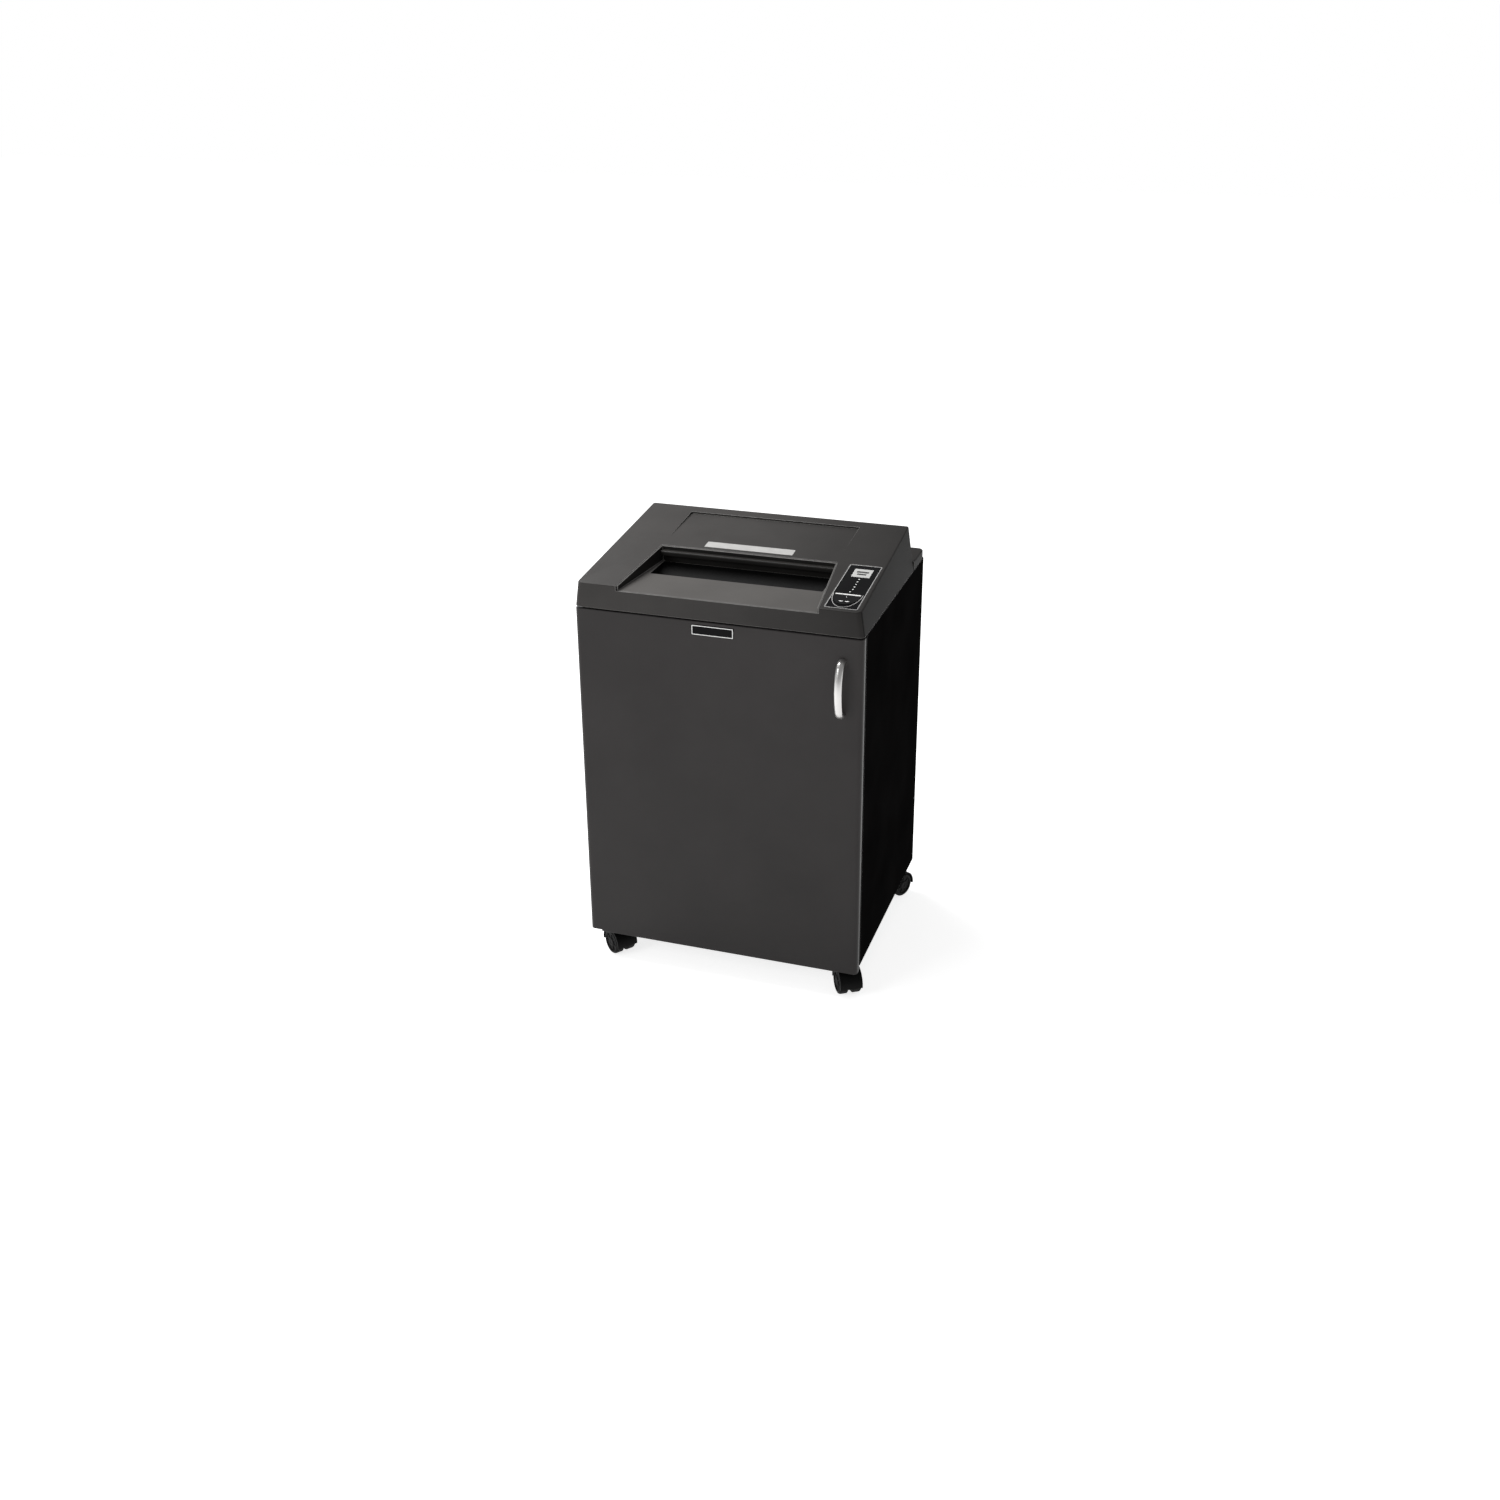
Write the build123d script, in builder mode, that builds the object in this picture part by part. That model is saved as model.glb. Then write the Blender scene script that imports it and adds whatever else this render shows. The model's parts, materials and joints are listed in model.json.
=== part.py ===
from build123d import *
from math import acos, asin, atan2, cos, degrees, pi, radians, sin, sqrt, tan
import os

os.makedirs("parts", exist_ok=True)

# A free-standing cabinet paper shredder on four twin-wheel casters.
# Millimetres. The origin lies on the floor under the middle of the overall box.
# +X runs to the right of a person who faces the door, +Y from the door to the back, +Z up.

# ---------------------------------------------------------------- driving dimensions
cabinet_width = 545.0
cabinet_depth = 456.0  # front of the door to the back
cabinet_height = 676.0  # side panels
caster_height = 64.0  # floor to the underside of the side panels
handle_reach = 31.0  # how far the door handle stands out

board = 16.0  # side, base, shelf and rail boards
back_board = 8.0
door_thickness = 18.0
door_gap = 3.0  # behind the door and above it
door_drop = 9.0  # door edge below the side panels
edge_break = 1.2  # chamfer on the boards' visible edges

cover_front_height = 47.0
cover_ridge_height = 88.0
cover_ridge_depth = 373.0  # front of the cover to its ridge
cover_wall = 3.0
cover_draft = 8.0  # degrees
cover_corner = 10.0
cover_edge = 2.5
cover_tab = (20.0, 16.0, 6.0, 4.0)  # width, drop beside the side panel, leg and web thickness
cover_tab_depths = (70.0, 300.0, 412.0)  # two on the head cover, one on the rear deck
deck_height = 18.0
deck_corner = 12.0

sliding_gap = 0.3  # between bodies that slide past each other
running_gap = 0.06  # radial, pin in its bore
loose_gap = 0.4  # between covers and inserts

# ---------------------------------------------------------------- derived frame
half_width = cabinet_width / 2
door_front = -(cabinet_depth - handle_reach) / 2
back_face = door_front + cabinet_depth
seam_z = caster_height + cabinet_height
inner_half = half_width - board
slope = atan2(cover_ridge_height - cover_front_height, cover_ridge_depth)
X_AXIS, Y_AXIS, Z_AXIS = (1, 0, 0), (0, 1, 0), (0, 0, 1)
FRONTWARD, DOWNWARD = (0, -1, 0), (0, 0, -1)


def y_at(depth):
    """Y of a point that lies depth behind the door's front face."""
    return door_front + depth


def save(builder, name):
    """Labels a finished piece and writes its STEP file."""
    builder.part.label = name
    export_step(builder.part, f"parts/{name}.step")


def block(x, y, z, mode=Mode.ADD):
    """Box between pairs of low and high values, in the builder that is open."""
    with Locations(((x[0] + x[1]) / 2, (y[0] + y[1]) / 2, (z[0] + z[1]) / 2)):
        Box(x[1] - x[0], y[1] - y[0], z[1] - z[0], mode=mode)


def rod(start, direction, length, radius, mode=Mode.ADD):
    """Cylinder from start along direction, in the builder that is open."""
    with Locations(Plane(origin=start, z_dir=direction)):
        Cylinder(radius, length, align=(Align.CENTER, Align.CENTER, Align.MIN), mode=mode)


# ---------------------------------------------------------------- wood screws
screw_head_radius = 3.6
screw_head_height = 1.6
screw_shank_radius = 1.9
screw_length = 12.0
pilot_radius = screw_shank_radius + running_gap


# Each screw is the point where its head seats and the direction of its shank.


def pilot_holes(places):
    """Pilot holes for wood screws, cut from the builder that is open."""
    for seat, direction in places:
        rod(seat, direction, screw_length + 1.0, pilot_radius, Mode.SUBTRACT)


# ---------------------------------------------------------------- casters
wheel_radius = 25.0
wheel_width = 17.0
wheel_edge = 3.5
wheel_recess = 2.0
web_half = 4.0  # half thickness of the fork between the two wheels
wheel_side_gap = 1.0
hood_gap = 1.5
hood_wall = 2.5
caster_trail = 18.0
caster_axle_radius = 3.0
caster_plate_size = 36.0
caster_plate_thickness = 3.0
caster_plate_bottom = caster_height - caster_plate_thickness
raceway_radius = 13.0
raceway_height = 2.7
boss_radius = 10.0
stem_radius = 5.0
stem_length = 8.0
caster_inset_x = 34.5  # side panel's outer face to the stem
caster_inset_front = 21.0  # base panel's front edge to the stem
caster_inset_back = 45.0
caster_screw_pitch = 26.0

carcass_front = y_at(door_thickness + door_gap)
back_inner = back_face - back_board
stem_x = half_width - caster_inset_x
stem_front_y = carcass_front + caster_inset_front
stem_back_y = back_inner - caster_inset_back
# Stem position, and the way that the wheels trail at rest, in degrees about +Z from +X.
# The front right and back left wheels reach equally far past the sides.
splay = 58.0
casters = {
    "front_left": (-stem_x, stem_front_y, -37.0),
    "front_right": (stem_x, stem_front_y, -splay),
    "back_left": (-stem_x, stem_back_y, splay - 180.0),
    "back_right": (stem_x, stem_back_y, 62.0),
}

hood_radius = wheel_radius + hood_gap + hood_wall
wheel_outer = web_half + wheel_side_gap + wheel_width
boss_bottom = 2 * wheel_radius + 1.0
boss_top = caster_plate_bottom - raceway_height - sliding_gap
stem_top = caster_plate_bottom

for place, (stem_at_x, stem_at_y, heading) in casters.items():
    turn = Location((stem_at_x, stem_at_y, 0), (0, 0, heading))

    with BuildPart() as hood:
        with BuildSketch(Plane.XZ) as web:
            with Locations((caster_trail, wheel_radius)):
                Circle(wheel_radius - 5.0)
            with Locations((caster_trail / 2, (wheel_radius + boss_top) / 2)):
                Rectangle(caster_trail, boss_top - wheel_radius)
        extrude(amount=web_half, both=True)
        with BuildSketch(Plane.XZ) as shell:
            with Locations((caster_trail, wheel_radius)):
                Circle(hood_radius)
                Circle(hood_radius - hood_wall, mode=Mode.SUBTRACT)
            with Locations((caster_trail, wheel_radius - 4.0)):
                Rectangle(3 * hood_radius, 2 * hood_radius, align=(Align.CENTER, Align.MAX), mode=Mode.SUBTRACT)
        extrude(amount=wheel_outer, both=True)
        rod((0, 0, boss_bottom), Z_AXIS, boss_top - boss_bottom, boss_radius)
        with Locations((caster_trail, 0, boss_bottom + hood_wall / 2)):
            Box(caster_trail, 2 * web_half, hood_wall)
        rod((0, 0, stem_top - raceway_height - stem_length - sliding_gap), Z_AXIS, stem_length + 1.0,
            stem_radius + running_gap, Mode.SUBTRACT)
        rod((caster_trail, -web_half - 1, wheel_radius), Y_AXIS, 2 * web_half + 2,
            caster_axle_radius + running_gap, Mode.SUBTRACT)
    hood.part.locate(turn)
    save(hood, f"caster_hood_{place}")

    with BuildPart() as wheels:
        for side in (-1, 1):
            with BuildSketch(Plane.XZ.offset(-side * (web_half + wheel_side_gap))):
                with Locations((caster_trail, wheel_radius)):
                    Circle(wheel_radius)
                    Circle(caster_axle_radius + 0.02, mode=Mode.SUBTRACT)
            extrude(amount=-side * wheel_width)
        rims = wheels.edges().filter_by(GeomType.CIRCLE)
        outer_rims = [e for e in rims if e.radius > wheel_radius - 0.1 and abs(e.center().Y) > wheel_outer - 0.1]
        fillet(outer_rims, wheel_edge)
        for side in (-1, 1):
            with BuildSketch(Plane.XZ.offset(-side * wheel_outer)):
                with Locations((caster_trail, wheel_radius)):
                    Circle(wheel_radius - 7.0)
                    Circle(caster_axle_radius + 4.0, mode=Mode.SUBTRACT)
            extrude(amount=side * wheel_recess, mode=Mode.SUBTRACT)
        rod((caster_trail, -wheel_outer + 1.0, wheel_radius), Y_AXIS, 2 * wheel_outer - 2.0, caster_axle_radius)
    wheels.part.locate(turn)
    save(wheels, f"caster_wheels_{place}")

caster_screws = []
with BuildPart() as caster_plates:
    for stem_at_x, stem_at_y, _ in casters.values():
        half_plate = caster_plate_size / 2
        block((stem_at_x - half_plate, stem_at_x + half_plate), (stem_at_y - half_plate, stem_at_y + half_plate),
              (caster_plate_bottom, caster_height))
        rod((stem_at_x, stem_at_y, caster_plate_bottom), DOWNWARD, raceway_height, raceway_radius)
        rod((stem_at_x, stem_at_y, caster_plate_bottom), DOWNWARD, raceway_height + stem_length, stem_radius)
        for dx in (-1, 1):
            for dy in (-1, 1):
                seat = (stem_at_x + dx * caster_screw_pitch / 2, stem_at_y + dy * caster_screw_pitch / 2,
                        caster_plate_bottom)
                caster_screws.append((seat, Z_AXIS))
                rod(seat, Z_AXIS, caster_plate_thickness, pilot_radius, Mode.SUBTRACT)
save(caster_plates, "caster_plates")

# ---------------------------------------------------------------- shelf, cutters and drive positions
shelf_top = seam_z - 86.0
shelf_bottom = shelf_top - board
slot_depth = 112.0  # middle of the paper slot behind the door's front
slot_gap = 8.0
cutter_spacing = 42.0
cutter_z = seam_z - 31.0
front_cutter_depth = slot_depth - cutter_spacing / 2
rear_cutter_depth = slot_depth + cutter_spacing / 2
plate_inner = 176.0  # frame plates' inner faces from the middle
plate_thickness = 6.0
plate_outer = plate_inner + plate_thickness
plate_foot = 20.0
plate_foot_thickness = 3.0
plate_top = cutter_z + 55.0
plate_front = y_at(slot_depth - 60.0)
left_plate_back = y_at(slot_depth + 60.0)
right_plate_back = y_at(slot_depth + 178.0)
foot_screw_inset = 18.0
foot_screws = []
for foot_side, foot_back in ((-1, left_plate_back), (1, right_plate_back)):
    for foot_screw_y in (plate_front + foot_screw_inset, foot_back - foot_screw_inset):
        foot_seat = (foot_side * (plate_outer + plate_foot / 2), foot_screw_y, shelf_top + plate_foot_thickness)
        foot_screws.append((foot_seat, DOWNWARD))

chute_half_width = plate_inner - 4.0
chute_wall = 2.0
chute_front = y_at(slot_depth - 40.0)
chute_back = y_at(slot_depth + 40.0)
chute_top = cutter_z - 29.0
chute_bottom = shelf_bottom - 12.0

# ---------------------------------------------------------------- cabinet boards
bracket_leg = 24.0
bracket_width = 22.0
bracket_thickness = 2.0
bracket_rows = (carcass_front + 60.0, back_inner - 60.0)
floor_top = caster_height + board
hinge_leaf = 2.0
leaf_reach = 18.5  # side panel's inner face to the far edge of a hinge leaf
leaf_screw_edge = 3.5  # side panel's inner face to the nearest leaf screw
pivot_inset = 8.0  # door's edge to the hinge pins
pivot_depth = 11.0  # door's front to the hinge pins
pivot_x = -half_width + pivot_inset
pivot_y = y_at(pivot_depth)
hinge_pin_radius = 3.0
hinge_pin_length = 13.0
leaf_x = (pivot_x + 6.5, -inner_half + leaf_reach)
leaf_screw_x = (-inner_half + leaf_screw_edge, leaf_x[1] - 5.0)

tab_face = inner_half - 0.1  # tab legs stand just clear of the side panels
tab_screws = []
for side in (-1, 1):
    for depth in cover_tab_depths:
        tab_seat = (side * (tab_face - cover_tab[2]), y_at(depth), seam_z - cover_tab[1] / 2)
        tab_screws.append((tab_seat, (side, 0, 0)))

bracket_boxes = []
bracket_screws = []
for side in (-1, 1):
    for board_face, up in ((floor_top, 1), (shelf_bottom, -1)):
        for row in bracket_rows:
            bracket_boxes.append((side, board_face, up, row))
            wall_seat = (side * (inner_half - bracket_thickness), row, board_face + up * (bracket_leg - 7.0))
            bracket_screws.append((wall_seat, (side, 0, 0)))
            board_seat = (side * (inner_half - bracket_leg + 7.0), row, board_face + up * bracket_thickness)
            bracket_screws.append((board_seat, (0, 0, -up)))
lower_leaf_screws = [((x, carcass_front - hinge_leaf, floor_top - 4.5), Y_AXIS) for x in leaf_screw_x]
upper_leaf_screws = [((x, carcass_front - hinge_leaf, seam_z - 14.0), Y_AXIS) for x in leaf_screw_x]
sunk_screws = lower_leaf_screws + upper_leaf_screws

for name, side in (("left", -1), ("right", 1)):
    with BuildPart() as side_panel:
        block(sorted((side * inner_half, side * half_width)), (carcass_front, back_face), (caster_height, seam_z))
        outer_face = side_panel.faces().sort_by(Axis.X)[-1 if side > 0 else 0]
        chamfer(outer_face.edges(), edge_break)
        pilot_holes([screw for screw in bracket_screws + tab_screws if screw[1] == (side, 0, 0)])
    save(side_panel, f"{name}_side_panel")

with BuildPart() as base_panel:
    block((-inner_half, inner_half), (carcass_front, back_inner), (caster_height, floor_top))
    pilot_holes(caster_screws + lower_leaf_screws)
    pilot_holes([screw for screw in bracket_screws if screw[1] == DOWNWARD])
save(base_panel, "base_panel")

with BuildPart() as machine_shelf:
    block((-inner_half, inner_half), (carcass_front + board, back_inner), (shelf_bottom, shelf_top))
    block((-chute_half_width - 1, chute_half_width + 1), (chute_front - 1, chute_back + 1),
          (shelf_bottom - 1, shelf_top + 1), Mode.SUBTRACT)
    pilot_holes(foot_screws)
    pilot_holes([screw for screw in bracket_screws if screw[1] == Z_AXIS])
save(machine_shelf, "machine_shelf")

with BuildPart() as front_rail:
    block((-inner_half, inner_half), (carcass_front, carcass_front + board), (shelf_bottom, seam_z))
    pilot_holes(upper_leaf_screws)
save(front_rail, "front_rail")

vent_count = 9
vent_pitch = 11.0
vent_size = (90.0, 5.0)
vent_x = 110.0
vent_low_z = shelf_top + 8.0
service_x = -140.0  # middle of the recess for the power inlet and master switch
service_size = (96.0, 44.0)
service_z = seam_z - 42.0

with BuildPart() as back_panel:
    block((-inner_half, inner_half), (back_inner, back_face), (caster_height, seam_z))
    with BuildSketch(Plane.XZ.offset(-back_face)) as vents:
        for row in range(vent_count):
            with Locations((vent_x, vent_low_z + row * vent_pitch * 0.8)):
                SlotOverall(*vent_size)
        with Locations((service_x, service_z)):
            Rectangle(*service_size)
    extrude(amount=back_board + 1, mode=Mode.SUBTRACT)
save(back_panel, "back_panel")

with BuildPart() as corner_brackets:
    for side, board_face, up, row in bracket_boxes:
        rows = (row - bracket_width / 2, row + bracket_width / 2)
        face_x = side * inner_half
        block(sorted((face_x, face_x - side * bracket_thickness)), rows,
              sorted((board_face, board_face + up * bracket_leg)))
        block(sorted((face_x, face_x - side * bracket_leg)), rows,
              sorted((board_face, board_face + up * bracket_thickness)))
    for seat, direction in bracket_screws:
        rod(seat, direction, bracket_thickness, pilot_radius, Mode.SUBTRACT)
save(corner_brackets, "corner_brackets")

# ---------------------------------------------------------------- rear service plate, inlet and switch
service_sheet = 2.0
service_recess = 3.0
inlet_size = (28.0, 20.0)
inlet_flange = (40.0, 28.0)
inlet_x = service_x - 22.0
switch_x = service_x + 26.0
switch_opening = (13.0, 19.5)
switch_frame = (17.0, 24.0)
service_face = back_face - service_recess

with BuildPart() as inlet_plate:
    block((service_x - service_size[0] / 2, service_x + service_size[0] / 2),
          (service_face - service_sheet, service_face),
          (service_z - service_size[1] / 2, service_z + service_size[1] / 2))
    for centre_x, size in ((inlet_x, inlet_size), (switch_x, switch_frame)):
        block((centre_x - size[0] / 2 - 0.1, centre_x + size[0] / 2 + 0.1),
              (service_face - service_sheet - 1, service_face + 1),
              (service_z - size[1] / 2 - 0.1, service_z + size[1] / 2 + 0.1), Mode.SUBTRACT)
save(inlet_plate, "inlet_plate")

with BuildPart() as power_inlet:
    block((inlet_x - inlet_flange[0] / 2, inlet_x + inlet_flange[0] / 2), (service_face, service_face + 2.0),
          (service_z - inlet_flange[1] / 2, service_z + inlet_flange[1] / 2))
    block((inlet_x - inlet_size[0] / 2, inlet_x + inlet_size[0] / 2), (service_face - 22.0, service_face),
          (service_z - inlet_size[1] / 2, service_z + inlet_size[1] / 2))
    block((inlet_x - 12.0, inlet_x + 12.0), (service_face - 16.0, service_face + 3.0),
          (service_z - 8.0, service_z + 8.0), Mode.SUBTRACT)
    for pin_dx, pin_dz in ((-7.0, -1.0), (0.0, 2.0), (7.0, -1.0)):
        block((inlet_x + pin_dx - 1.0, inlet_x + pin_dx + 1.0), (service_face - 17.0, service_face - 1.0),
              (service_z + pin_dz - 1.5, service_z + pin_dz + 1.5))
save(power_inlet, "power_inlet")

switch_body_depth = 16.0
switch_pivot_depth = 5.0
switch_gap = 0.5
with BuildPart() as switch_frame_part:
    block((switch_x - switch_frame[0] / 2, switch_x + switch_frame[0] / 2),
          (service_face - switch_body_depth, service_face + 1.0),
          (service_z - switch_frame[1] / 2, service_z + switch_frame[1] / 2))
    block((switch_x - switch_opening[0] / 2, switch_x + switch_opening[0] / 2),
          (service_face - switch_body_depth + 2.0, service_face + 2.0),
          (service_z - switch_opening[1] / 2, service_z + switch_opening[1] / 2), Mode.SUBTRACT)
    rod((switch_x - switch_frame[0] / 2 + 0.5, service_face - switch_pivot_depth, service_z), X_AXIS,
        switch_frame[0] - 1.0, 1.5)
save(switch_frame_part, "master_switch_frame")

with BuildPart() as master_switch:
    with BuildSketch(Plane.YZ.offset(switch_x - switch_opening[0] / 2 + switch_gap)):
        rock_half = switch_opening[1] / 2 - 1.2
        with BuildLine():
            Polyline(
                (service_face - switch_pivot_depth - 3.5, service_z - 3.0),
                (service_face - switch_pivot_depth - 3.5, service_z + 3.0),
                (service_face - 3.5, service_z + rock_half),
                (service_face - 0.6, service_z + rock_half),
                (service_face - 1.8, service_z),
                (service_face - 0.6, service_z - rock_half),
                (service_face - 3.5, service_z - rock_half),
                close=True,
            )
        make_face()
        with Locations((service_face - switch_pivot_depth, service_z)):
            Circle(1.5 + running_gap, mode=Mode.SUBTRACT)
    extrude(amount=switch_opening[0] - 2 * switch_gap)
save(master_switch, "master_switch")

# ---------------------------------------------------------------- door
door_bottom = caster_height - door_drop
door_top = seam_z - door_gap
door_corner = 9.0
door_pivot_corner = 6.0
door_edge = 2.0
door_rear = y_at(door_thickness)
hinge_notch = (24.0, 4.0)
lower_leaf_z = (door_bottom + 0.6, door_bottom + 3.6)
upper_leaf_z = (door_top + 0.4, seam_z - 0.4)
handle_x = half_width - 38.5
handle_z = seam_z - 98.0
handle_half_span = 52.0
handle_bar_half_width = 7.0
handle_bar_half_depth = 5.0
handle_bend = handle_reach - handle_bar_half_depth
handle_corner = 20.0  # radius of the bow at each end, along the bar's middle
handle_bow = ((handle_bend ** 2 + handle_half_span ** 2 - 2 * handle_half_span * handle_corner)
              / (2 * (handle_bend - handle_corner)))  # radius of the bow's long middle arc
corner_centre = handle_half_span - handle_corner
bow_half_angle = degrees(atan2(corner_centre, handle_bow - handle_bend))
handle_screw_radius = 2.0
handle_screw_head = (4.0, 1.8)
handle_tap = 8.0

with BuildPart() as door_panel:
    with BuildSketch(Plane.XY.offset(door_bottom)) as door_plan:
        with Locations((0, y_at(door_thickness / 2))):
            Rectangle(cabinet_width, door_thickness)
        fillet(door_plan.vertices().group_by(Axis.Y)[0], door_corner)
        fillet(door_plan.vertices().group_by(Axis.Y)[-1].sort_by(Axis.X)[0], door_pivot_corner)
        fillet(door_plan.vertices().group_by(Axis.Y)[-1].sort_by(Axis.X)[-1], door_edge + 1.5)
    extrude(amount=door_top - door_bottom)
    fillet(door_panel.faces().sort_by(Axis.Z)[-1].edges() + door_panel.faces().sort_by(Axis.Z)[0].edges(), door_edge)
    block((-half_width - 1, -half_width + hinge_notch[0]), (door_front - 1, door_rear + 1),
          (door_bottom - 1, door_bottom + hinge_notch[1]), Mode.SUBTRACT)
    rod((pivot_x, pivot_y, door_bottom), Z_AXIS, hinge_notch[1] + hinge_pin_length + 1.0,
        hinge_pin_radius + running_gap, Mode.SUBTRACT)
    rod((pivot_x, pivot_y, door_top), DOWNWARD, hinge_pin_length + 1.0, hinge_pin_radius + running_gap, Mode.SUBTRACT)
    for end in (-1, 1):
        rod((handle_x, door_front, handle_z + end * handle_half_span), Y_AXIS, door_thickness,
            handle_screw_radius + 0.2, Mode.SUBTRACT)
save(door_panel, "door_panel")

with BuildPart() as door_handle:
    with BuildLine(Plane.YZ.offset(handle_x)) as bow:
        CenterArc((door_front, handle_z + corner_centre), handle_corner, 90, 90 - bow_half_angle)
        CenterArc((door_front + handle_bow - handle_bend, handle_z), handle_bow, 180 - bow_half_angle,
                  2 * bow_half_angle)
        CenterArc((door_front, handle_z - corner_centre), handle_corner, 180 + bow_half_angle, 90 - bow_half_angle)
    with BuildSketch(Plane(origin=bow.line @ 0, x_dir=X_AXIS, z_dir=bow.line % 0)):
        Ellipse(handle_bar_half_width, handle_bar_half_depth)
    sweep(path=bow.line)
    for end in (-1, 1):
        rod((handle_x, door_front, handle_z + end * handle_half_span), FRONTWARD, handle_tap,
            handle_screw_radius + 0.03, Mode.SUBTRACT)
save(door_handle, "door_handle")

with BuildPart() as handle_screws:
    for end in (-1, 1):
        seat = (handle_x, door_rear, handle_z + end * handle_half_span)
        rod(seat, Y_AXIS, handle_screw_head[1], handle_screw_head[0])
        rod(seat, FRONTWARD, door_thickness + handle_tap - 1.0, handle_screw_radius)
save(handle_screws, "handle_screws")

badge_x = -6.0
badge_size = (80.0, 20.0)
badge_z = seam_z - 19.0
badge_thickness = 1.2
with BuildPart() as door_badge:
    with BuildSketch(Plane.XZ.offset(-door_front)):
        with Locations((badge_x, badge_z)):
            RectangleRounded(*badge_size, 1.5)
    extrude(amount=badge_thickness)
    chamfer(door_badge.faces().sort_by(Axis.Y)[0].edges(), 0.4)
save(door_badge, "door_badge")

strike_x = inner_half - 8.0
strike_z = shelf_bottom - 40.0
with BuildPart() as strike_plate:
    with BuildSketch(Plane.XZ.offset(-door_rear)):
        with Locations((strike_x, strike_z)):
            RectangleRounded(13.0, 40.0, 3.0)
    extrude(amount=-1.5)
save(strike_plate, "strike_plate")

with BuildPart() as magnet_catch:
    block((inner_half - 16.0, inner_half), (carcass_front - 1.0, carcass_front + 22.0),
          (strike_z - 23.0, strike_z + 23.0))
    chamfer(magnet_catch.edges().filter_by(Axis.Y), 2.0)
save(magnet_catch, "magnet_catch")

for name, leaf_z, web_z, pin_start, pin_way, screws in (
    ("lower_hinge", lower_leaf_z, (lower_leaf_z[0], floor_top), lower_leaf_z[1], Z_AXIS, lower_leaf_screws),
    ("upper_hinge", upper_leaf_z, (seam_z - 24.0, upper_leaf_z[1]), upper_leaf_z[0], DOWNWARD, upper_leaf_screws),
):
    with BuildPart() as hinge:
        block((pivot_x - 5.5, pivot_x + 5.5), (pivot_y - 5.5, carcass_front), leaf_z)
        block((pivot_x - 5.5, leaf_x[1]), (carcass_front - hinge_leaf, carcass_front), leaf_z)
        block(leaf_x, (carcass_front - hinge_leaf, carcass_front), web_z)
        rod((pivot_x, pivot_y, pin_start), pin_way, hinge_pin_length, hinge_pin_radius)
        pilot_holes(screws)
        for seat, way in screws:
            rod(seat, way, screw_head_height, screw_head_radius + 0.1, Mode.SUBTRACT)
    save(hinge, name)

with BuildPart() as wood_screws:
    for seat, direction in caster_screws + bracket_screws + foot_screws + tab_screws + sunk_screws:
        proud = 0.0 if (seat, direction) in sunk_screws else screw_head_height
        backward = tuple(-proud * c for c in direction)
        head_start = tuple(s + b for s, b in zip(seat, backward))
        rod(head_start, direction, screw_head_height, screw_head_radius)
        rod(seat, direction, screw_length, screw_shank_radius)
save(wood_screws, "wood_screws")

# ---------------------------------------------------------------- door interlock
interlock_x = 200.0
interlock_z = shelf_bottom - 11.0
plunger_radius = 2.5
plunger_travel = 3.0
with BuildPart() as interlock_switch:
    block((interlock_x - 10.0, interlock_x + 10.0), (carcass_front + 3.0, carcass_front + 27.0),
          (shelf_bottom - 22.0, shelf_bottom))
    rod((interlock_x, carcass_front, interlock_z), Y_AXIS, 20.0, plunger_radius + running_gap, Mode.SUBTRACT)
save(interlock_switch, "interlock_switch")

with BuildPart() as interlock_plunger:
    rod((interlock_x, door_rear + sliding_gap, interlock_z), Y_AXIS, 16.0, plunger_radius)
    fillet(interlock_plunger.faces().sort_by(Axis.Y)[0].edges(), 1.5)
save(interlock_plunger, "interlock_plunger")

# ---------------------------------------------------------------- waste bin
bin_half_width = 205.0
bin_front = y_at(50.0)
bin_back = back_inner - 12.0
bin_bottom = floor_top + sliding_gap
bin_top = chute_bottom - 16.0
bin_wall = 2.5
bin_corner = 18.0
rim_out = 3.0
rim_height = 6.0
bin_middle_y = (bin_front + bin_back) / 2
with BuildPart() as waste_bin:
    with BuildSketch(Plane.XY.offset(bin_bottom)):
        with Locations((0, bin_middle_y)):
            RectangleRounded(2 * bin_half_width, bin_back - bin_front, bin_corner)
    extrude(amount=bin_top - bin_bottom)
    with BuildSketch(Plane.XY.offset(bin_top - rim_height)):
        with Locations((0, bin_middle_y)):
            RectangleRounded(2 * (bin_half_width + rim_out), bin_back - bin_front + 2 * rim_out, bin_corner + rim_out)
    extrude(amount=rim_height)
    with BuildSketch(Plane.XY.offset(bin_bottom + bin_wall)):
        with Locations((0, bin_middle_y)):
            RectangleRounded(2 * (bin_half_width - bin_wall), bin_back - bin_front - 2 * bin_wall,
                             bin_corner - bin_wall)
    extrude(amount=bin_top, mode=Mode.SUBTRACT)
    fillet(waste_bin.faces().sort_by(Axis.Z)[0].edges(), bin_wall - 0.5)
save(waste_bin, "waste_bin")

with BuildPart() as discharge_chute:
    block((-chute_half_width, chute_half_width), (chute_front, chute_back), (chute_bottom, chute_top))
    block((-chute_half_width, chute_half_width), (chute_front - 10.0, chute_back + 10.0),
          (shelf_top, shelf_top + chute_wall))
    block((-chute_half_width + chute_wall, chute_half_width - chute_wall),
          (chute_front + chute_wall, chute_back - chute_wall), (chute_bottom - 1, chute_top + 1), Mode.SUBTRACT)
save(discharge_chute, "discharge_chute")

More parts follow.
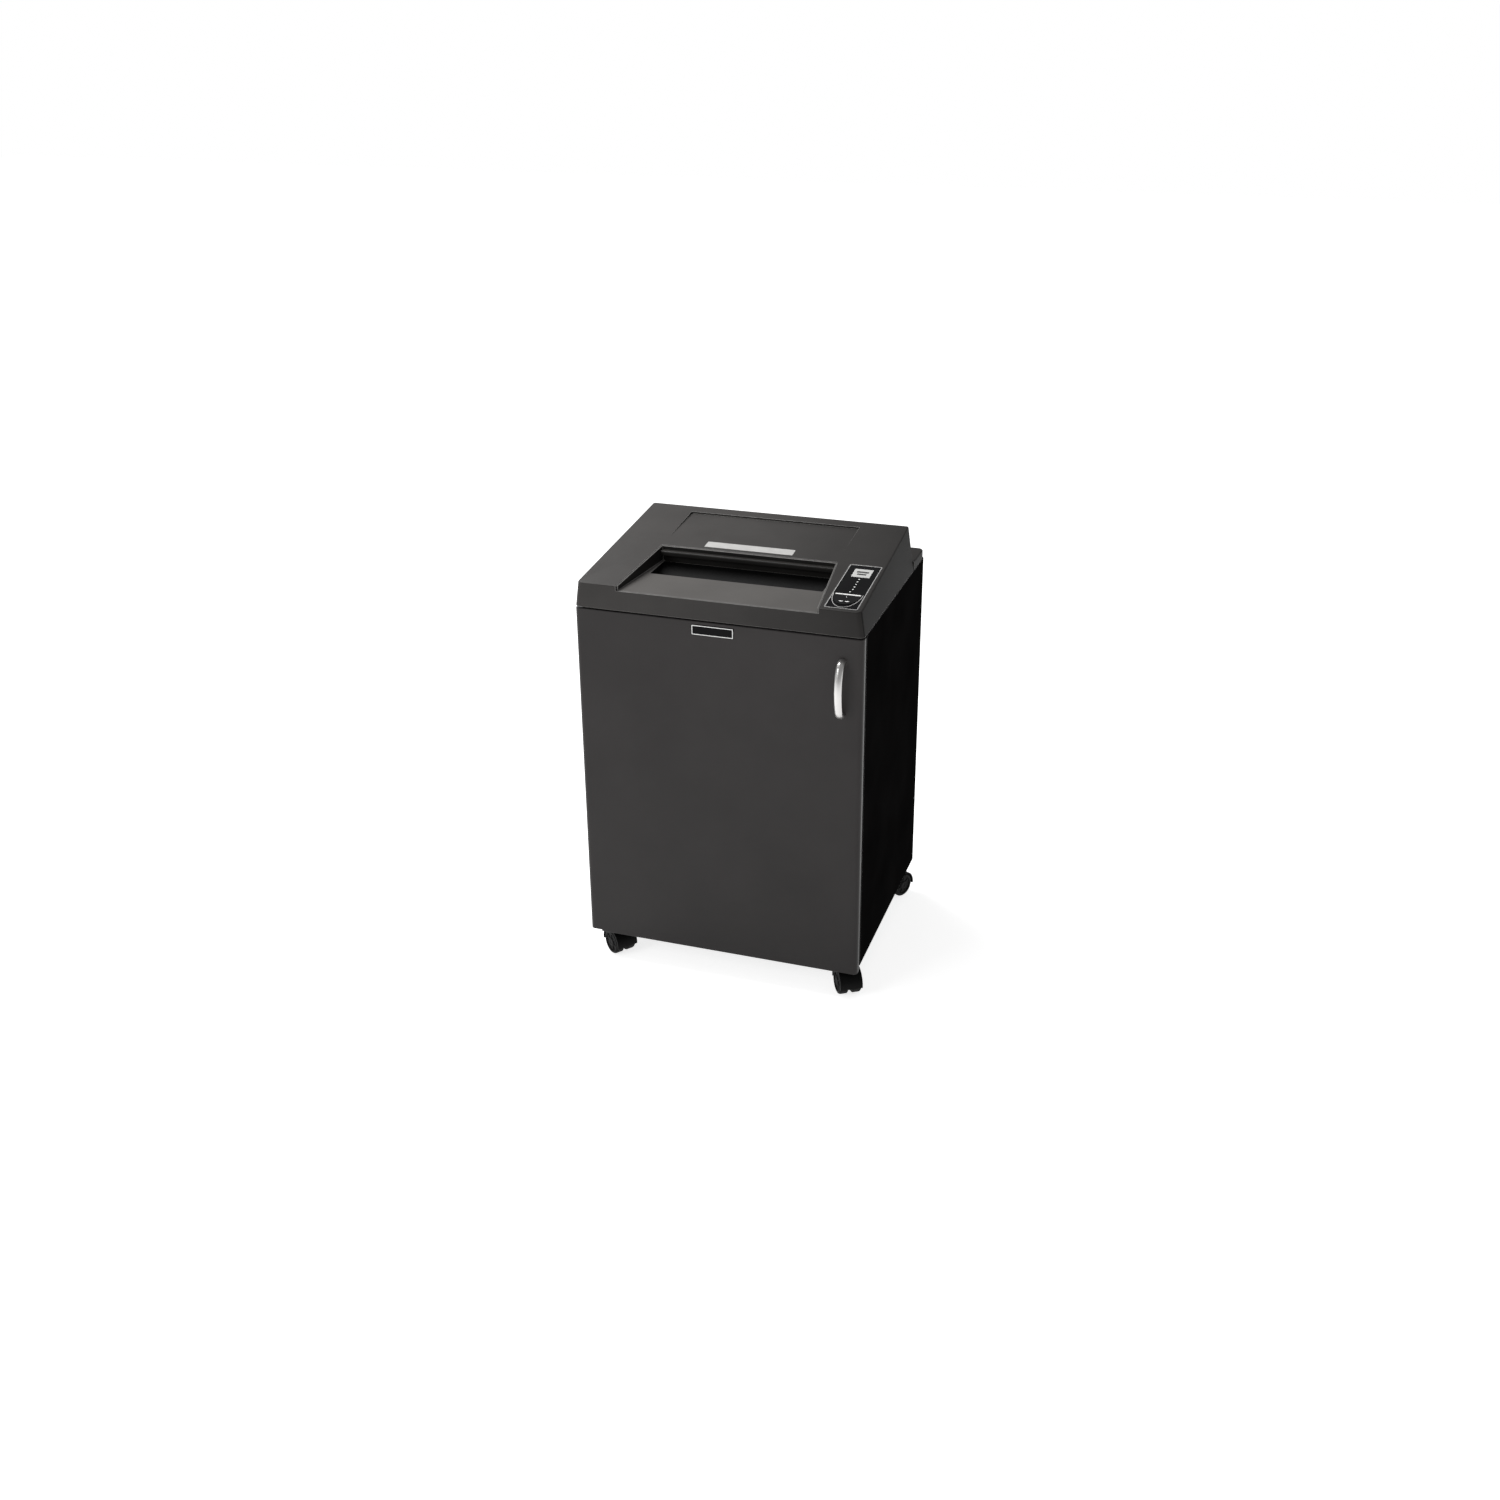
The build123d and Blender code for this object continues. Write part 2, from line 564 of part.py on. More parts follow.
# ---------------------------------------------------------------- machine frame
shaft_radius = 8.0
bush_radius = 13.0
bush_flange = (16.0, 2.0)
bush_seat = bush_radius + 0.02
front_shaft_y = y_at(front_cutter_depth)
rear_shaft_y = y_at(rear_cutter_depth)
tie_radius = 5.0
tie_inset = 10.0
tie_places = []
for tie_y in (plate_front + tie_inset, left_plate_back - tie_inset):
    tie_places += [(tie_y, shelf_top + 12.0), (tie_y, plate_top - 12.0)]

drive_module = 1.5
sync_teeth = 28
sync_module = cutter_spacing / sync_teeth  # pitch circles meet at half the cutter spacing
drive_teeth = 60
pinion_teeth = 20
motor_gear_module = 1.25
motor_gear_teeth = 64
motor_pinion_teeth = 16
counter_y = rear_shaft_y + drive_module * (drive_teeth + pinion_teeth) / 2
motor_y = counter_y + motor_gear_module * (motor_gear_teeth + motor_pinion_teeth) / 2
counter_radius = 6.0
motor_shaft_radius = 5.0
motor_clear_radius = 13.0
gear_plate_x = plate_outer + 42.0
gear_plate_thickness = 3.0
gear_post_radius = 4.0
gear_posts = [(counter_y - 30.0, -46.0), (counter_y - 30.0, 46.0), (motor_y + 20.0, -32.0), (motor_y + 20.0, 32.0)]

for name, side, plate_back in (("left", -1, left_plate_back), ("right", 1, right_plate_back)):
    with BuildPart() as frame_plate:
        block(sorted((side * plate_inner, side * plate_outer)), (plate_front, plate_back), (shelf_top, plate_top))
        block(sorted((side * plate_inner, side * (plate_outer + plate_foot))), (plate_front, plate_back),
              (shelf_top, shelf_top + plate_foot_thickness))
        for shaft_y in (front_shaft_y, rear_shaft_y):
            rod((side * (plate_inner - 1), shaft_y, cutter_z), (side, 0, 0), plate_thickness + 2, bush_seat,
                Mode.SUBTRACT)
        if side > 0:
            rod((plate_inner - 1, counter_y, cutter_z), X_AXIS, plate_thickness + 2,
                counter_radius + running_gap, Mode.SUBTRACT)
            rod((plate_inner - 1, motor_y, cutter_z), X_AXIS, plate_thickness + 2, motor_clear_radius, Mode.SUBTRACT)
        pilot_holes([screw for screw in foot_screws if screw[0][0] * side > 0])
    save(frame_plate, f"{name}_frame_plate")

with BuildPart() as tie_rods:
    for tie_y, tie_z in tie_places:
        rod((-plate_inner, tie_y, tie_z), X_AXIS, 2 * plate_inner, tie_radius)
save(tie_rods, "tie_rods")

with BuildPart() as shaft_bushes:
    for side in (-1, 1):
        for shaft_y in (front_shaft_y, rear_shaft_y):
            rod((side * (plate_inner - bush_flange[1]), shaft_y, cutter_z), (side, 0, 0), bush_flange[1],
                bush_flange[0])
            rod((side * plate_inner, shaft_y, cutter_z), (side, 0, 0), plate_thickness, bush_radius)
            rod((side * (plate_inner - bush_flange[1] - 1), shaft_y, cutter_z), (side, 0, 0), plate_thickness + 4,
                shaft_radius + running_gap, Mode.SUBTRACT)
save(shaft_bushes, "shaft_bushes")

with BuildPart() as gear_plate:
    block((gear_plate_x, gear_plate_x + gear_plate_thickness), (counter_y - 38.0, motor_y + 28.0),
          (cutter_z - 52.0, plate_top - 2.0))
    for post_y, post_dz in gear_posts:
        rod((plate_outer, post_y, cutter_z + post_dz), X_AXIS, gear_plate_x - plate_outer, gear_post_radius)
    rod((gear_plate_x - 1, counter_y, cutter_z), X_AXIS, gear_plate_thickness + 2, counter_radius + running_gap,
        Mode.SUBTRACT)
    rod((gear_plate_x - 1, motor_y, cutter_z), X_AXIS, gear_plate_thickness + 2, motor_shaft_radius + running_gap,
        Mode.SUBTRACT)
save(gear_plate, "gear_plate")

# ---------------------------------------------------------------- gears
pressure_angle = radians(20)
addendum = 0.9
dedendum = 1.2
tooth_thinning = 0.12  # taken from each tooth's width at the pitch circle


def involute(radius, base_radius):
    """Involute function of the pressure angle at a radius."""
    angle = acos(min(1.0, base_radius / radius))
    return tan(angle) - angle


def gear_points(teeth, module, first_tooth):
    """Outline of a spur gear about its own axis, with a tooth at the angle first_tooth."""
    pitch_radius = module * teeth / 2
    base_radius = pitch_radius * cos(pressure_angle)
    root_radius = pitch_radius - dedendum * module
    tip_radius = pitch_radius + addendum * module
    low_radius = max(base_radius, root_radius)
    half_tooth = pi / (2 * teeth) - tooth_thinning / (2 * pitch_radius)
    flank = []
    for step in (0.0, 0.35, 0.7, 1.0):
        radius = low_radius + step * (tip_radius - low_radius)
        spread = half_tooth + involute(pitch_radius, base_radius) - involute(radius, base_radius)
        flank.append((radius, spread))
    if root_radius < base_radius:
        flank.insert(0, (root_radius, flank[0][1]))
    points = []
    for tooth in range(teeth):
        middle = first_tooth + 2 * pi * tooth / teeth
        points += [(r * cos(middle - a), r * sin(middle - a)) for r, a in flank]
        points += [(r * cos(middle + a), r * sin(middle + a)) for r, a in reversed(flank)]
    return points


def spur_gear(start_x, width, axis_y, teeth, module, first_tooth):
    """Spur gear about an axis along X, in the builder that is open."""
    with BuildSketch(Plane(origin=(start_x, axis_y, cutter_z), x_dir=Y_AXIS, z_dir=X_AXIS)) as gear_face:
        with BuildLine():
            Polyline(*gear_points(teeth, module, first_tooth), close=True)
        make_face()
    extrude(gear_face.sketch, amount=width)


gear_width = 14.0
gear_side_gap = 3.0
sync_x = -plate_outer - gear_side_gap - gear_width
drive_x = plate_outer + gear_side_gap + 3.0
motor_gear_x = drive_x + gear_width + gear_side_gap + 1.0
motor_gear_width = 10.0

# ---------------------------------------------------------------- cutters
disc_overlap = 4.0  # each disc past the middle of the nip
disc_radius = cutter_spacing / 2 + disc_overlap
disc_width = 5.7
disc_pitch = 12.0
disc_count = 27
core_gap = 2.0  # rim of one shaft's discs to the other's core
core_radius = cutter_spacing - disc_radius - core_gap
core_half = plate_inner - bush_flange[1] - 1.0
notch_count = 6
notch_half = 2.2
notch_depth = 3.0

for name, shaft_y, phase_x, ends, tooth_at in (
    ("front", front_shaft_y, -disc_pitch / 4, (sync_x - 1.0, plate_outer + 1.0), pi / sync_teeth),
    ("rear", rear_shaft_y, disc_pitch / 4, (sync_x - 1.0, drive_x + gear_width + 1.0), pi),
):
    steps = [(ends[0], shaft_radius), (-core_half, core_radius)]
    for disc in range(disc_count):
        disc_x = phase_x + (disc - (disc_count - 1) / 2) * disc_pitch
        steps += [(disc_x - disc_width / 2, disc_radius), (disc_x + disc_width / 2, core_radius)]
    steps += [(core_half, shaft_radius), (ends[1], 0.0)]
    outline = [(ends[0], 0.0)]
    for (step_x, step_radius), (next_x, _) in zip(steps, steps[1:]):
        outline += [(step_x, step_radius), (next_x, step_radius)]
    outline.append((ends[1], 0.0))
    with BuildPart() as cutter:
        with BuildSketch(Plane(origin=(0, shaft_y, cutter_z), x_dir=X_AXIS, z_dir=FRONTWARD)):
            with BuildLine():
                Polyline(*outline, close=True)
            make_face()
        revolve(axis=Axis((0, shaft_y, cutter_z), X_AXIS))
        with BuildSketch(Plane(origin=(-core_half, shaft_y, cutter_z), x_dir=Y_AXIS, z_dir=X_AXIS)):
            with PolarLocations(0, notch_count):
                with BuildLine():
                    Polyline((disc_radius - notch_depth, 0), (disc_radius + 1, notch_half), (disc_radius + 1, -1),
                             close=True)
                make_face()
        extrude(amount=2 * core_half, mode=Mode.SUBTRACT)
        spur_gear(sync_x, gear_width, shaft_y, sync_teeth, sync_module, tooth_at)
        if name == "rear":
            spur_gear(drive_x, gear_width, shaft_y, drive_teeth, drive_module, 0.0)
    save(cutter, f"{name}_cutter")

    way = -1 if name == "front" else 1
    bar_y = sorted((shaft_y + way * (disc_radius + 4.0), shaft_y + way * (disc_radius + 10.0)))
    finger_y = sorted((shaft_y + way * (core_radius + 0.6), shaft_y + way * (disc_radius + 5.0)))
    with BuildPart() as stripper:
        block((-plate_inner, plate_inner), bar_y, (cutter_z - 10.0, cutter_z + 6.0))
        for finger in range(disc_count - 1):
            finger_x = phase_x + (finger - (disc_count - 2) / 2) * disc_pitch
            half_finger = (disc_pitch - disc_width) / 2 - 0.6
            block((finger_x - half_finger, finger_x + half_finger), finger_y, (cutter_z - 6.0, cutter_z + 2.0))
    save(stripper, f"{name}_stripper")

# ---------------------------------------------------------------- countershaft and motor
with BuildPart() as countershaft:
    rod((plate_inner, counter_y, cutter_z), X_AXIS, gear_plate_x + gear_plate_thickness - plate_inner, counter_radius)
    spur_gear(drive_x - 1.0, gear_width + 2.0, counter_y, pinion_teeth, drive_module, pi + pi / pinion_teeth)
    spur_gear(motor_gear_x, motor_gear_width, counter_y, motor_gear_teeth, motor_gear_module, 0.0)
save(countershaft, "countershaft")

motor_radius = 42.0
motor_length = 130.0
motor_wall = 3.0
motor_left = plate_inner - motor_length
rotor_radius = 35.0
with BuildPart() as motor_housing:
    rod((motor_left, motor_y, cutter_z), X_AXIS, motor_length, motor_radius)
    block((motor_left + 15.0, plate_inner - 15.0), (motor_y - 24.0, motor_y + 24.0), (shelf_top, cutter_z))
    rod((motor_left + motor_wall, motor_y, cutter_z), X_AXIS, motor_length - 2 * motor_wall,
        motor_radius - motor_wall, Mode.SUBTRACT)
    rod((motor_left - 1, motor_y, cutter_z), X_AXIS, motor_length + 2, motor_shaft_radius + running_gap,
        Mode.SUBTRACT)
save(motor_housing, "motor_housing")

with BuildPart() as motor_rotor:
    rod((motor_left - 4.0, motor_y, cutter_z), X_AXIS, gear_plate_x + gear_plate_thickness - motor_left + 4.0,
        motor_shaft_radius)
    rod((motor_left + 34.0, motor_y, cutter_z), X_AXIS, 80.0, rotor_radius)
    with BuildSketch(Plane(origin=(motor_left + 10.0, motor_y, cutter_z), x_dir=Y_AXIS, z_dir=X_AXIS)):
        Circle(12.0)
        with PolarLocations(rotor_radius / 2, 8):
            Rectangle(rotor_radius - 2.0, 2.5)
    extrude(amount=16.0)
    spur_gear(motor_gear_x - 1.0, motor_gear_width + 2.0, motor_y, motor_pinion_teeth, motor_gear_module,
              pi + pi / motor_pinion_teeth)
save(motor_rotor, "motor_rotor")

capacitor_radius = 15.0
capacitor_x = (-110.0, -50.0)
with BuildPart() as motor_capacitor:
    rod((capacitor_x[0], motor_y, shelf_top + capacitor_radius + 2.0), X_AXIS, capacitor_x[1] - capacitor_x[0],
        capacitor_radius)
    block((capacitor_x[0] + 10.0, capacitor_x[1] - 10.0), (motor_y - 18.0, motor_y + 18.0), (shelf_top, shelf_top + 4.0))
save(motor_capacitor, "motor_capacitor")

# ---------------------------------------------------------------- head cover
lid_plane = Plane(origin=(0, door_front, seam_z + cover_front_height), x_dir=X_AXIS,
                  z_dir=(0, -sin(slope), cos(slope)))
lid_side_plane = Plane(origin=lid_plane.origin, x_dir=(0, cos(slope), sin(slope)), z_dir=X_AXIS)
ridge_y = y_at(cover_ridge_depth)
ridge_z = seam_z + cover_ridge_height

recess_front_half = 190.0
recess_rear_half = 172.0
recess_length = 187.0
recess_floor = seam_z + 38.0
tray_wall = 2.5
tray_length = 108.0  # tray floor, from the front of the cover
control_size = (61.0, 177.0)
control_centre = (226.5, 98.5)
inset_panel = (340.0, 228.0, 348.0, 4.0)  # width, start and end along the slope, depth at its end
inset_margin = 4.0


def recess_outline(inset, front_depth):
    """Corners of the feed recess seen from above, drawn in by inset at its sides and back."""
    def half_at(depth):
        share = depth / recess_length
        return recess_front_half + (recess_rear_half - recess_front_half) * share - inset

    back_depth = recess_length - inset
    return [(-half_at(front_depth), y_at(front_depth)), (half_at(front_depth), y_at(front_depth)),
            (half_at(back_depth), y_at(back_depth)), (-half_at(back_depth), y_at(back_depth))]


def cover_tabs(depths):
    """Tabs that stand on the side panels' top edges and are screwed to their inner faces."""
    tab_width, tab_drop, tab_leg, tab_web = cover_tab
    for side in (-1, 1):
        for depth in depths:
            rows = (y_at(depth) - tab_width / 2, y_at(depth) + tab_width / 2)
            block(sorted((side * (tab_face - tab_leg), side * (half_width - cover_wall / 2))), rows,
                  (seam_z, seam_z + tab_web))
            block(sorted((side * (tab_face - tab_leg), side * tab_face)), rows, (seam_z - tab_drop, seam_z))
    pilot_holes([screw for screw in tab_screws if abs(screw[0][1] - y_at(depths[0])) < tab_width
                 or abs(screw[0][1] - y_at(depths[-1])) < tab_width])


with BuildPart() as head_cover:
    with BuildSketch(Plane.YZ):
        with BuildLine():
            Polyline((door_front, seam_z), (door_front, seam_z + cover_front_height), (ridge_y, ridge_z),
                     (ridge_y, seam_z), close=True)
        make_face()
    extrude(amount=half_width, both=True)
    with BuildSketch(Plane.XZ.offset(-ridge_y - 1)):
        drawn_in = half_width - (cover_ridge_height + 10) * tan(radians(cover_draft))
        with BuildLine():
            Polyline((-half_width, seam_z), (half_width, seam_z), (drawn_in, ridge_z + 10), (-drawn_in, ridge_z + 10),
                     close=True)
        make_face()
    extrude(amount=cover_ridge_depth + 2, mode=Mode.INTERSECT)
    fillet([e for e in head_cover.edges() if abs(e.center().Y - door_front) < 0.1 and abs(e.tangent_at(0.5).Z) > 0.9],
           cover_corner)
    fillet([e for e in head_cover.edges() if abs(e.center().Y - ridge_y) < 0.1 and abs(e.tangent_at(0.5).Z) > 0.9],
           cover_corner / 2)
    fillet(head_cover.faces().sort_by(Axis.Z)[-1].edges(), cover_edge)
    offset(amount=-cover_wall, openings=head_cover.faces().sort_by(Axis.Z)[0])
    cover_tabs(cover_tab_depths[:2])
    with BuildSketch(lid_plane.offset(-cover_wall - inset_panel[3])):
        with Locations((0, (inset_panel[1] + inset_panel[2]) / 2)):
            Rectangle(inset_panel[0] + 2 * inset_margin, inset_panel[2] - inset_panel[1] + 2 * inset_margin)
    extrude(amount=inset_panel[3] + 1)
    with BuildSketch(lid_side_plane):
        with BuildLine():
            Polyline((inset_panel[1], 0), (inset_panel[2], -inset_panel[3]), (inset_panel[2], 1), (inset_panel[1], 1),
                     close=True)
        make_face()
    extrude(amount=inset_panel[0] / 2, both=True, mode=Mode.SUBTRACT)
    with BuildSketch(Plane.XY.offset(recess_floor)):
        with BuildLine():
            Polyline(*recess_outline(0, -1.0), close=True)
        make_face()
    extrude(amount=cover_ridge_height, mode=Mode.SUBTRACT)
    with BuildSketch(lid_plane):
        with Locations(control_centre):
            RectangleRounded(*control_size, 3.0)
    extrude(amount=2 * cover_wall, both=True, mode=Mode.SUBTRACT)
save(head_cover, "head_cover")

with BuildPart() as rear_deck_cover:
    block((-half_width, half_width), (ridge_y + loose_gap, back_face), (seam_z, seam_z + deck_height))
    fillet([e for e in rear_deck_cover.edges().filter_by(Axis.Z) if e.center().Y > back_face - 1], deck_corner)
    fillet(rear_deck_cover.faces().sort_by(Axis.Z)[-1].edges(), cover_edge)
    offset(amount=-cover_wall, openings=rear_deck_cover.faces().sort_by(Axis.Z)[0])
    cover_tabs(cover_tab_depths[2:])
save(rear_deck_cover, "rear_deck_cover")

strip_size = (172.0, 23.0)
strip_centre = (-4.0, 208.5)
with BuildPart() as plain_strip:
    with BuildSketch(lid_plane):
        with Locations(strip_centre):
            RectangleRounded(*strip_size, 1.5)
    extrude(amount=0.5)
save(plain_strip, "plain_strip")

# ---------------------------------------------------------------- feed tray and throat
tray_bottom = recess_floor - tray_wall
throat_half = 166.0
throat_wall = 2.0
throat_back_depth = recess_length - loose_gap - tray_wall
slot_front_depth = slot_depth - slot_gap / 2
slot_back_depth = slot_depth + slot_gap / 2
throat_bottom = cutter_z + 22.0
throat_bend = seam_z + 8.0

with BuildPart() as feed_tray:
    with BuildSketch(Plane.XY.offset(tray_bottom)):
        with BuildLine():
            Polyline(*recess_outline(loose_gap, cover_wall + loose_gap), close=True)
        make_face()
    extrude(amount=cover_ridge_height)
    with BuildSketch(lid_plane.offset(-0.6)):
        Rectangle(2 * cabinet_width, 2 * cabinet_depth)
    extrude(amount=cover_ridge_height, mode=Mode.SUBTRACT)
    with BuildSketch(Plane.XY.offset(recess_floor)):
        with BuildLine():
            Polyline(*recess_outline(loose_gap + tray_wall, -1.0), close=True)
        make_face()
    extrude(amount=cover_ridge_height, mode=Mode.SUBTRACT)
    block((-throat_half, throat_half), (y_at(tray_length), y_at(throat_back_depth)), (tray_bottom - 1, recess_floor + 1),
          Mode.SUBTRACT)
save(feed_tray, "feed_tray")

with BuildPart() as throat_guide:
    front_wall = [(slot_front_depth - throat_wall, tray_bottom), (slot_front_depth, tray_bottom),
                  (slot_front_depth, throat_bottom), (slot_front_depth - throat_wall, throat_bottom)]
    rear_wall = [(slot_back_depth, throat_bottom), (slot_back_depth, throat_bend),
                 (throat_back_depth - 2.0, tray_bottom), (throat_back_depth + 2.0, tray_bottom),
                 (slot_back_depth + throat_wall, throat_bend - 1.0), (slot_back_depth + throat_wall, throat_bottom)]
    end_wall = [front_wall[3], front_wall[0], rear_wall[3], rear_wall[4], rear_wall[5]]
    for low_x, high_x, corners in (
        (-throat_half, throat_half, front_wall),
        (-throat_half, throat_half, rear_wall),
        (-throat_half - throat_wall, -throat_half, end_wall),
        (throat_half, throat_half + throat_wall, end_wall),
    ):
        with BuildSketch(Plane.YZ.offset(low_x)):
            with BuildLine():
                Polyline(*[(y_at(depth), z) for depth, z in corners], close=True)
            make_face()
        extrude(amount=high_x - low_x)
save(throat_guide, "throat_guide")

bar_size = (12.0, 10.0)
bar_half = 169.0
bar_bottom = recess_floor + 12.0
with BuildPart() as throat_bar:
    block((-bar_half, bar_half), (y_at(throat_back_depth) - bar_size[0], y_at(throat_back_depth)),
          (bar_bottom, bar_bottom + bar_size[1]))
    fillet([e for e in throat_bar.edges().filter_by(Axis.X) if e.center().Y < y_at(throat_back_depth) - 1], 3.0)
save(throat_bar, "throat_bar")

with BuildPart() as paper_sensor:
    sensor_y = y_at(slot_front_depth - throat_wall)
    block((-10.0, 10.0), (sensor_y - 12.0, sensor_y), (seam_z + 4.0, seam_z + 24.0))
    block((-7.0, 7.0), (sensor_y - 16.0, sensor_y - 12.0), (seam_z + 8.0, seam_z + 16.0))
save(paper_sensor, "paper_sensor")

# ---------------------------------------------------------------- control panel
bezel_sunk = 0.6
bezel_back = 5.2
bezel_rim = 3.5
board_level = 18.0
board_size = (56.0, 172.0, 1.6)
post_radius = 3.0
post_places = [(control_centre[0] + dx, control_centre[1] + dy) for dx in (-24.0, 24.0) for dy in (-80.0, 80.0)]
lens_radius = 1.5
lens_places = [(228.0, 87.0 + 10.5 * lens) for lens in range(5)] + [(225.5, 77.0)]
display_size = (34.0, 33.0)
display_centre = (227.5, 154.0)
status_size = (46.0, 4.0)
status_centre = (225.5, 65.5)
moon_centre = (225.5, 61.0)
moon_radii = (25.0, 36.0)
moon_gap = 0.8
rocker_axle_level = 9.5
rocker_axle_radius = 1.5
rocker_ears = ((17.0, 21.5), (64.0, 68.0))


def half_moon(grow):
    """Half-moon outline, straight at the back, in the sketch that is open."""
    with Locations(moon_centre):
        Ellipse(moon_radii[0] + grow, moon_radii[1] + grow)
    with Locations((moon_centre[0], moon_centre[1] + grow)):
        Rectangle(3 * moon_radii[0], 3 * moon_radii[1], align=(Align.CENTER, Align.MIN), mode=Mode.SUBTRACT)


def on_lid(x, y, level=0.0):
    """Point of the lid plane's own frame in the part's frame."""
    return lid_plane.from_local_coords(Vector(x, y, level))


with BuildPart() as control_bezel:
    with BuildSketch(lid_plane.offset(-bezel_back)):
        with Locations(control_centre):
            RectangleRounded(control_size[0] - 2 * loose_gap, control_size[1] - 2 * loose_gap, 3.0 - loose_gap)
    extrude(amount=bezel_back - bezel_sunk)
    with BuildSketch(lid_plane.offset(-bezel_back)):
        with Locations(control_centre):
            Rectangle(control_size[0] + 2 * bezel_rim, control_size[1] + 2 * bezel_rim)
    extrude(amount=bezel_back - cover_wall)
    for post_x, post_y in post_places:
        with BuildSketch(lid_plane.offset(-board_level)):
            with Locations((post_x, post_y)):
                Circle(post_radius)
        extrude(amount=board_level - bezel_back)
    for ear_low, ear_high in rocker_ears:
        with BuildSketch(lid_plane.offset(-rocker_axle_level - 3.0)):
            with Locations((moon_centre[0], (ear_low + ear_high) / 2)):
                Rectangle(10.0, ear_high - ear_low)
        extrude(amount=rocker_axle_level + 3.0 - bezel_back)
    rod(on_lid(moon_centre[0], rocker_ears[0][0] - 1.0, -rocker_axle_level), lid_plane.y_dir,
        rocker_ears[1][1] - rocker_ears[0][0] + 2.0, rocker_axle_radius + running_gap, Mode.SUBTRACT)
    with BuildSketch(lid_plane.offset(-bezel_back - 1)):
        half_moon(moon_gap)
        for lens_place in lens_places:
            with Locations(lens_place):
                Circle(lens_radius + 0.1)
    extrude(amount=bezel_back + 2, mode=Mode.SUBTRACT)
    with BuildSketch(lid_plane.offset(-bezel_sunk - 0.5)):
        with Locations(display_centre):
            Rectangle(display_size[0] + 0.2, display_size[1] + 0.2)
        with Locations(status_centre):
            Rectangle(status_size[0] + 0.2, status_size[1] + 0.2)
    extrude(amount=2, mode=Mode.SUBTRACT)
save(control_bezel, "control_bezel")

for name, centre, size in (("display_plate", display_centre, display_size), ("status_bar", status_centre, status_size)):
    with BuildPart() as insert:
        with BuildSketch(lid_plane.offset(-bezel_sunk - 0.5)):
            with Locations(centre):
                Rectangle(*size)
        extrude(amount=0.9)
    save(insert, name)

with BuildPart() as indicator_lenses:
    with BuildSketch(lid_plane.offset(-board_level)):
        for lens_place in lens_places:
            with Locations(lens_place):
                Circle(lens_radius)
    extrude(amount=board_level - bezel_sunk + 0.3)
save(indicator_lenses, "indicator_lenses")

with BuildPart() as control_board:
    with BuildSketch(lid_plane.offset(-board_level)):
        with Locations(control_centre):
            Rectangle(board_size[0], board_size[1])
    extrude(amount=-board_size[2])
    with BuildSketch(lid_plane.offset(-board_level - board_size[2])):
        for chip_y, chip_size in ((40.0, (18.0, 12.0)), (90.0, (12.0, 20.0)), (150.0, (26.0, 16.0))):
            with Locations((control_centre[0], chip_y)):
                Rectangle(*chip_size)
    extrude(amount=-3.0)
save(control_board, "control_board")

with BuildPart() as start_rocker:
    with BuildSketch(lid_plane.offset(-3.4)):
        half_moon(0)
    extrude(amount=4.0)
    chamfer(start_rocker.faces().sort_by(Axis.Z)[-1].edges(), 0.5)
    with BuildSketch(lid_plane.offset(-rocker_axle_level)):
        with Locations((moon_centre[0], moon_centre[1] - 16.0)):
            Rectangle(8.0, 28.0)
    extrude(amount=rocker_axle_level - 3.0)
    rod(on_lid(moon_centre[0], rocker_ears[0][0] + 0.5, -rocker_axle_level), lid_plane.y_dir,
        rocker_ears[1][1] - rocker_ears[0][0] - 1.0, rocker_axle_radius)
save(start_rocker, "start_rocker")
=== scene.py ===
import bmesh
import bpy
import json
import math
from mathutils import Matrix, Vector


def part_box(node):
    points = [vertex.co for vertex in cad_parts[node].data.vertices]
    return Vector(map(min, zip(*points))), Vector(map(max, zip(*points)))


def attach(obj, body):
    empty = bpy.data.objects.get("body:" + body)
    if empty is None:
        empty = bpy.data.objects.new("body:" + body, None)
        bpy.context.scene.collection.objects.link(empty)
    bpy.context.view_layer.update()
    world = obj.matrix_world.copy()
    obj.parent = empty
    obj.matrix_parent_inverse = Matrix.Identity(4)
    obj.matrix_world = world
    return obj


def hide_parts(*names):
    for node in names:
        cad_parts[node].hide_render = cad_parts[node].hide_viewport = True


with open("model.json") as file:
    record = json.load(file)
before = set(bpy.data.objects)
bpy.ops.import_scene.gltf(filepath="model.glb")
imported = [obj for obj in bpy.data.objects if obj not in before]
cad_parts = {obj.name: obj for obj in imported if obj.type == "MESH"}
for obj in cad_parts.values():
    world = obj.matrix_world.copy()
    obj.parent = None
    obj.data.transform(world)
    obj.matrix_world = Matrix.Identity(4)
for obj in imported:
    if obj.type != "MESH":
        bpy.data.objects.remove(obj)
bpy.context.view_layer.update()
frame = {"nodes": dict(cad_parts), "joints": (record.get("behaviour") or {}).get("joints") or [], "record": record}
nodes = frame["nodes"]
joints = {joint["name"]: joint for joint in frame["joints"]}
scene = bpy.context.scene
MM = 0.001
# Faces in EDGE_SLOT may take a painted highlight and faces in SIDE_SLOT painted shade.
EDGE_SLOT = 1  # material index of the faces made by rounding
SIDE_SLOT = 2  # material index of upright side faces and dark walls
WELD_MM = 0.002  # CAD mesh corners nearer than this are one
FLAT_DEGREES = 0.6  # faces that meet at less than this become one
WIDE_NOISE = (0.3, 0.7)  # places on the noise where the darker and the lighter tint are reached
BUMP_MM = 0.1  # depth of the grain
SMOOTHEST = 0.02  # lowest roughness of any spot
FLOOR_REACH = 12.0  # metres from the object to each edge of the floor
FLOOR_LEVEL = -0.0002  # just under the wheels
PRINT_MM = 0.06  # height of printed marks
# The throat walls behind the tray floor are painted in shade.
TRAY_FLOOR_MM = 104.0  # depth of the light tray floor; the throat's dark walls lie behind it
LEVEL_FACE = 0.9  # a face whose normal's z is larger than this is level
SIDE_FACE = 0.85  # a face whose normal's x is larger than this is an upright side


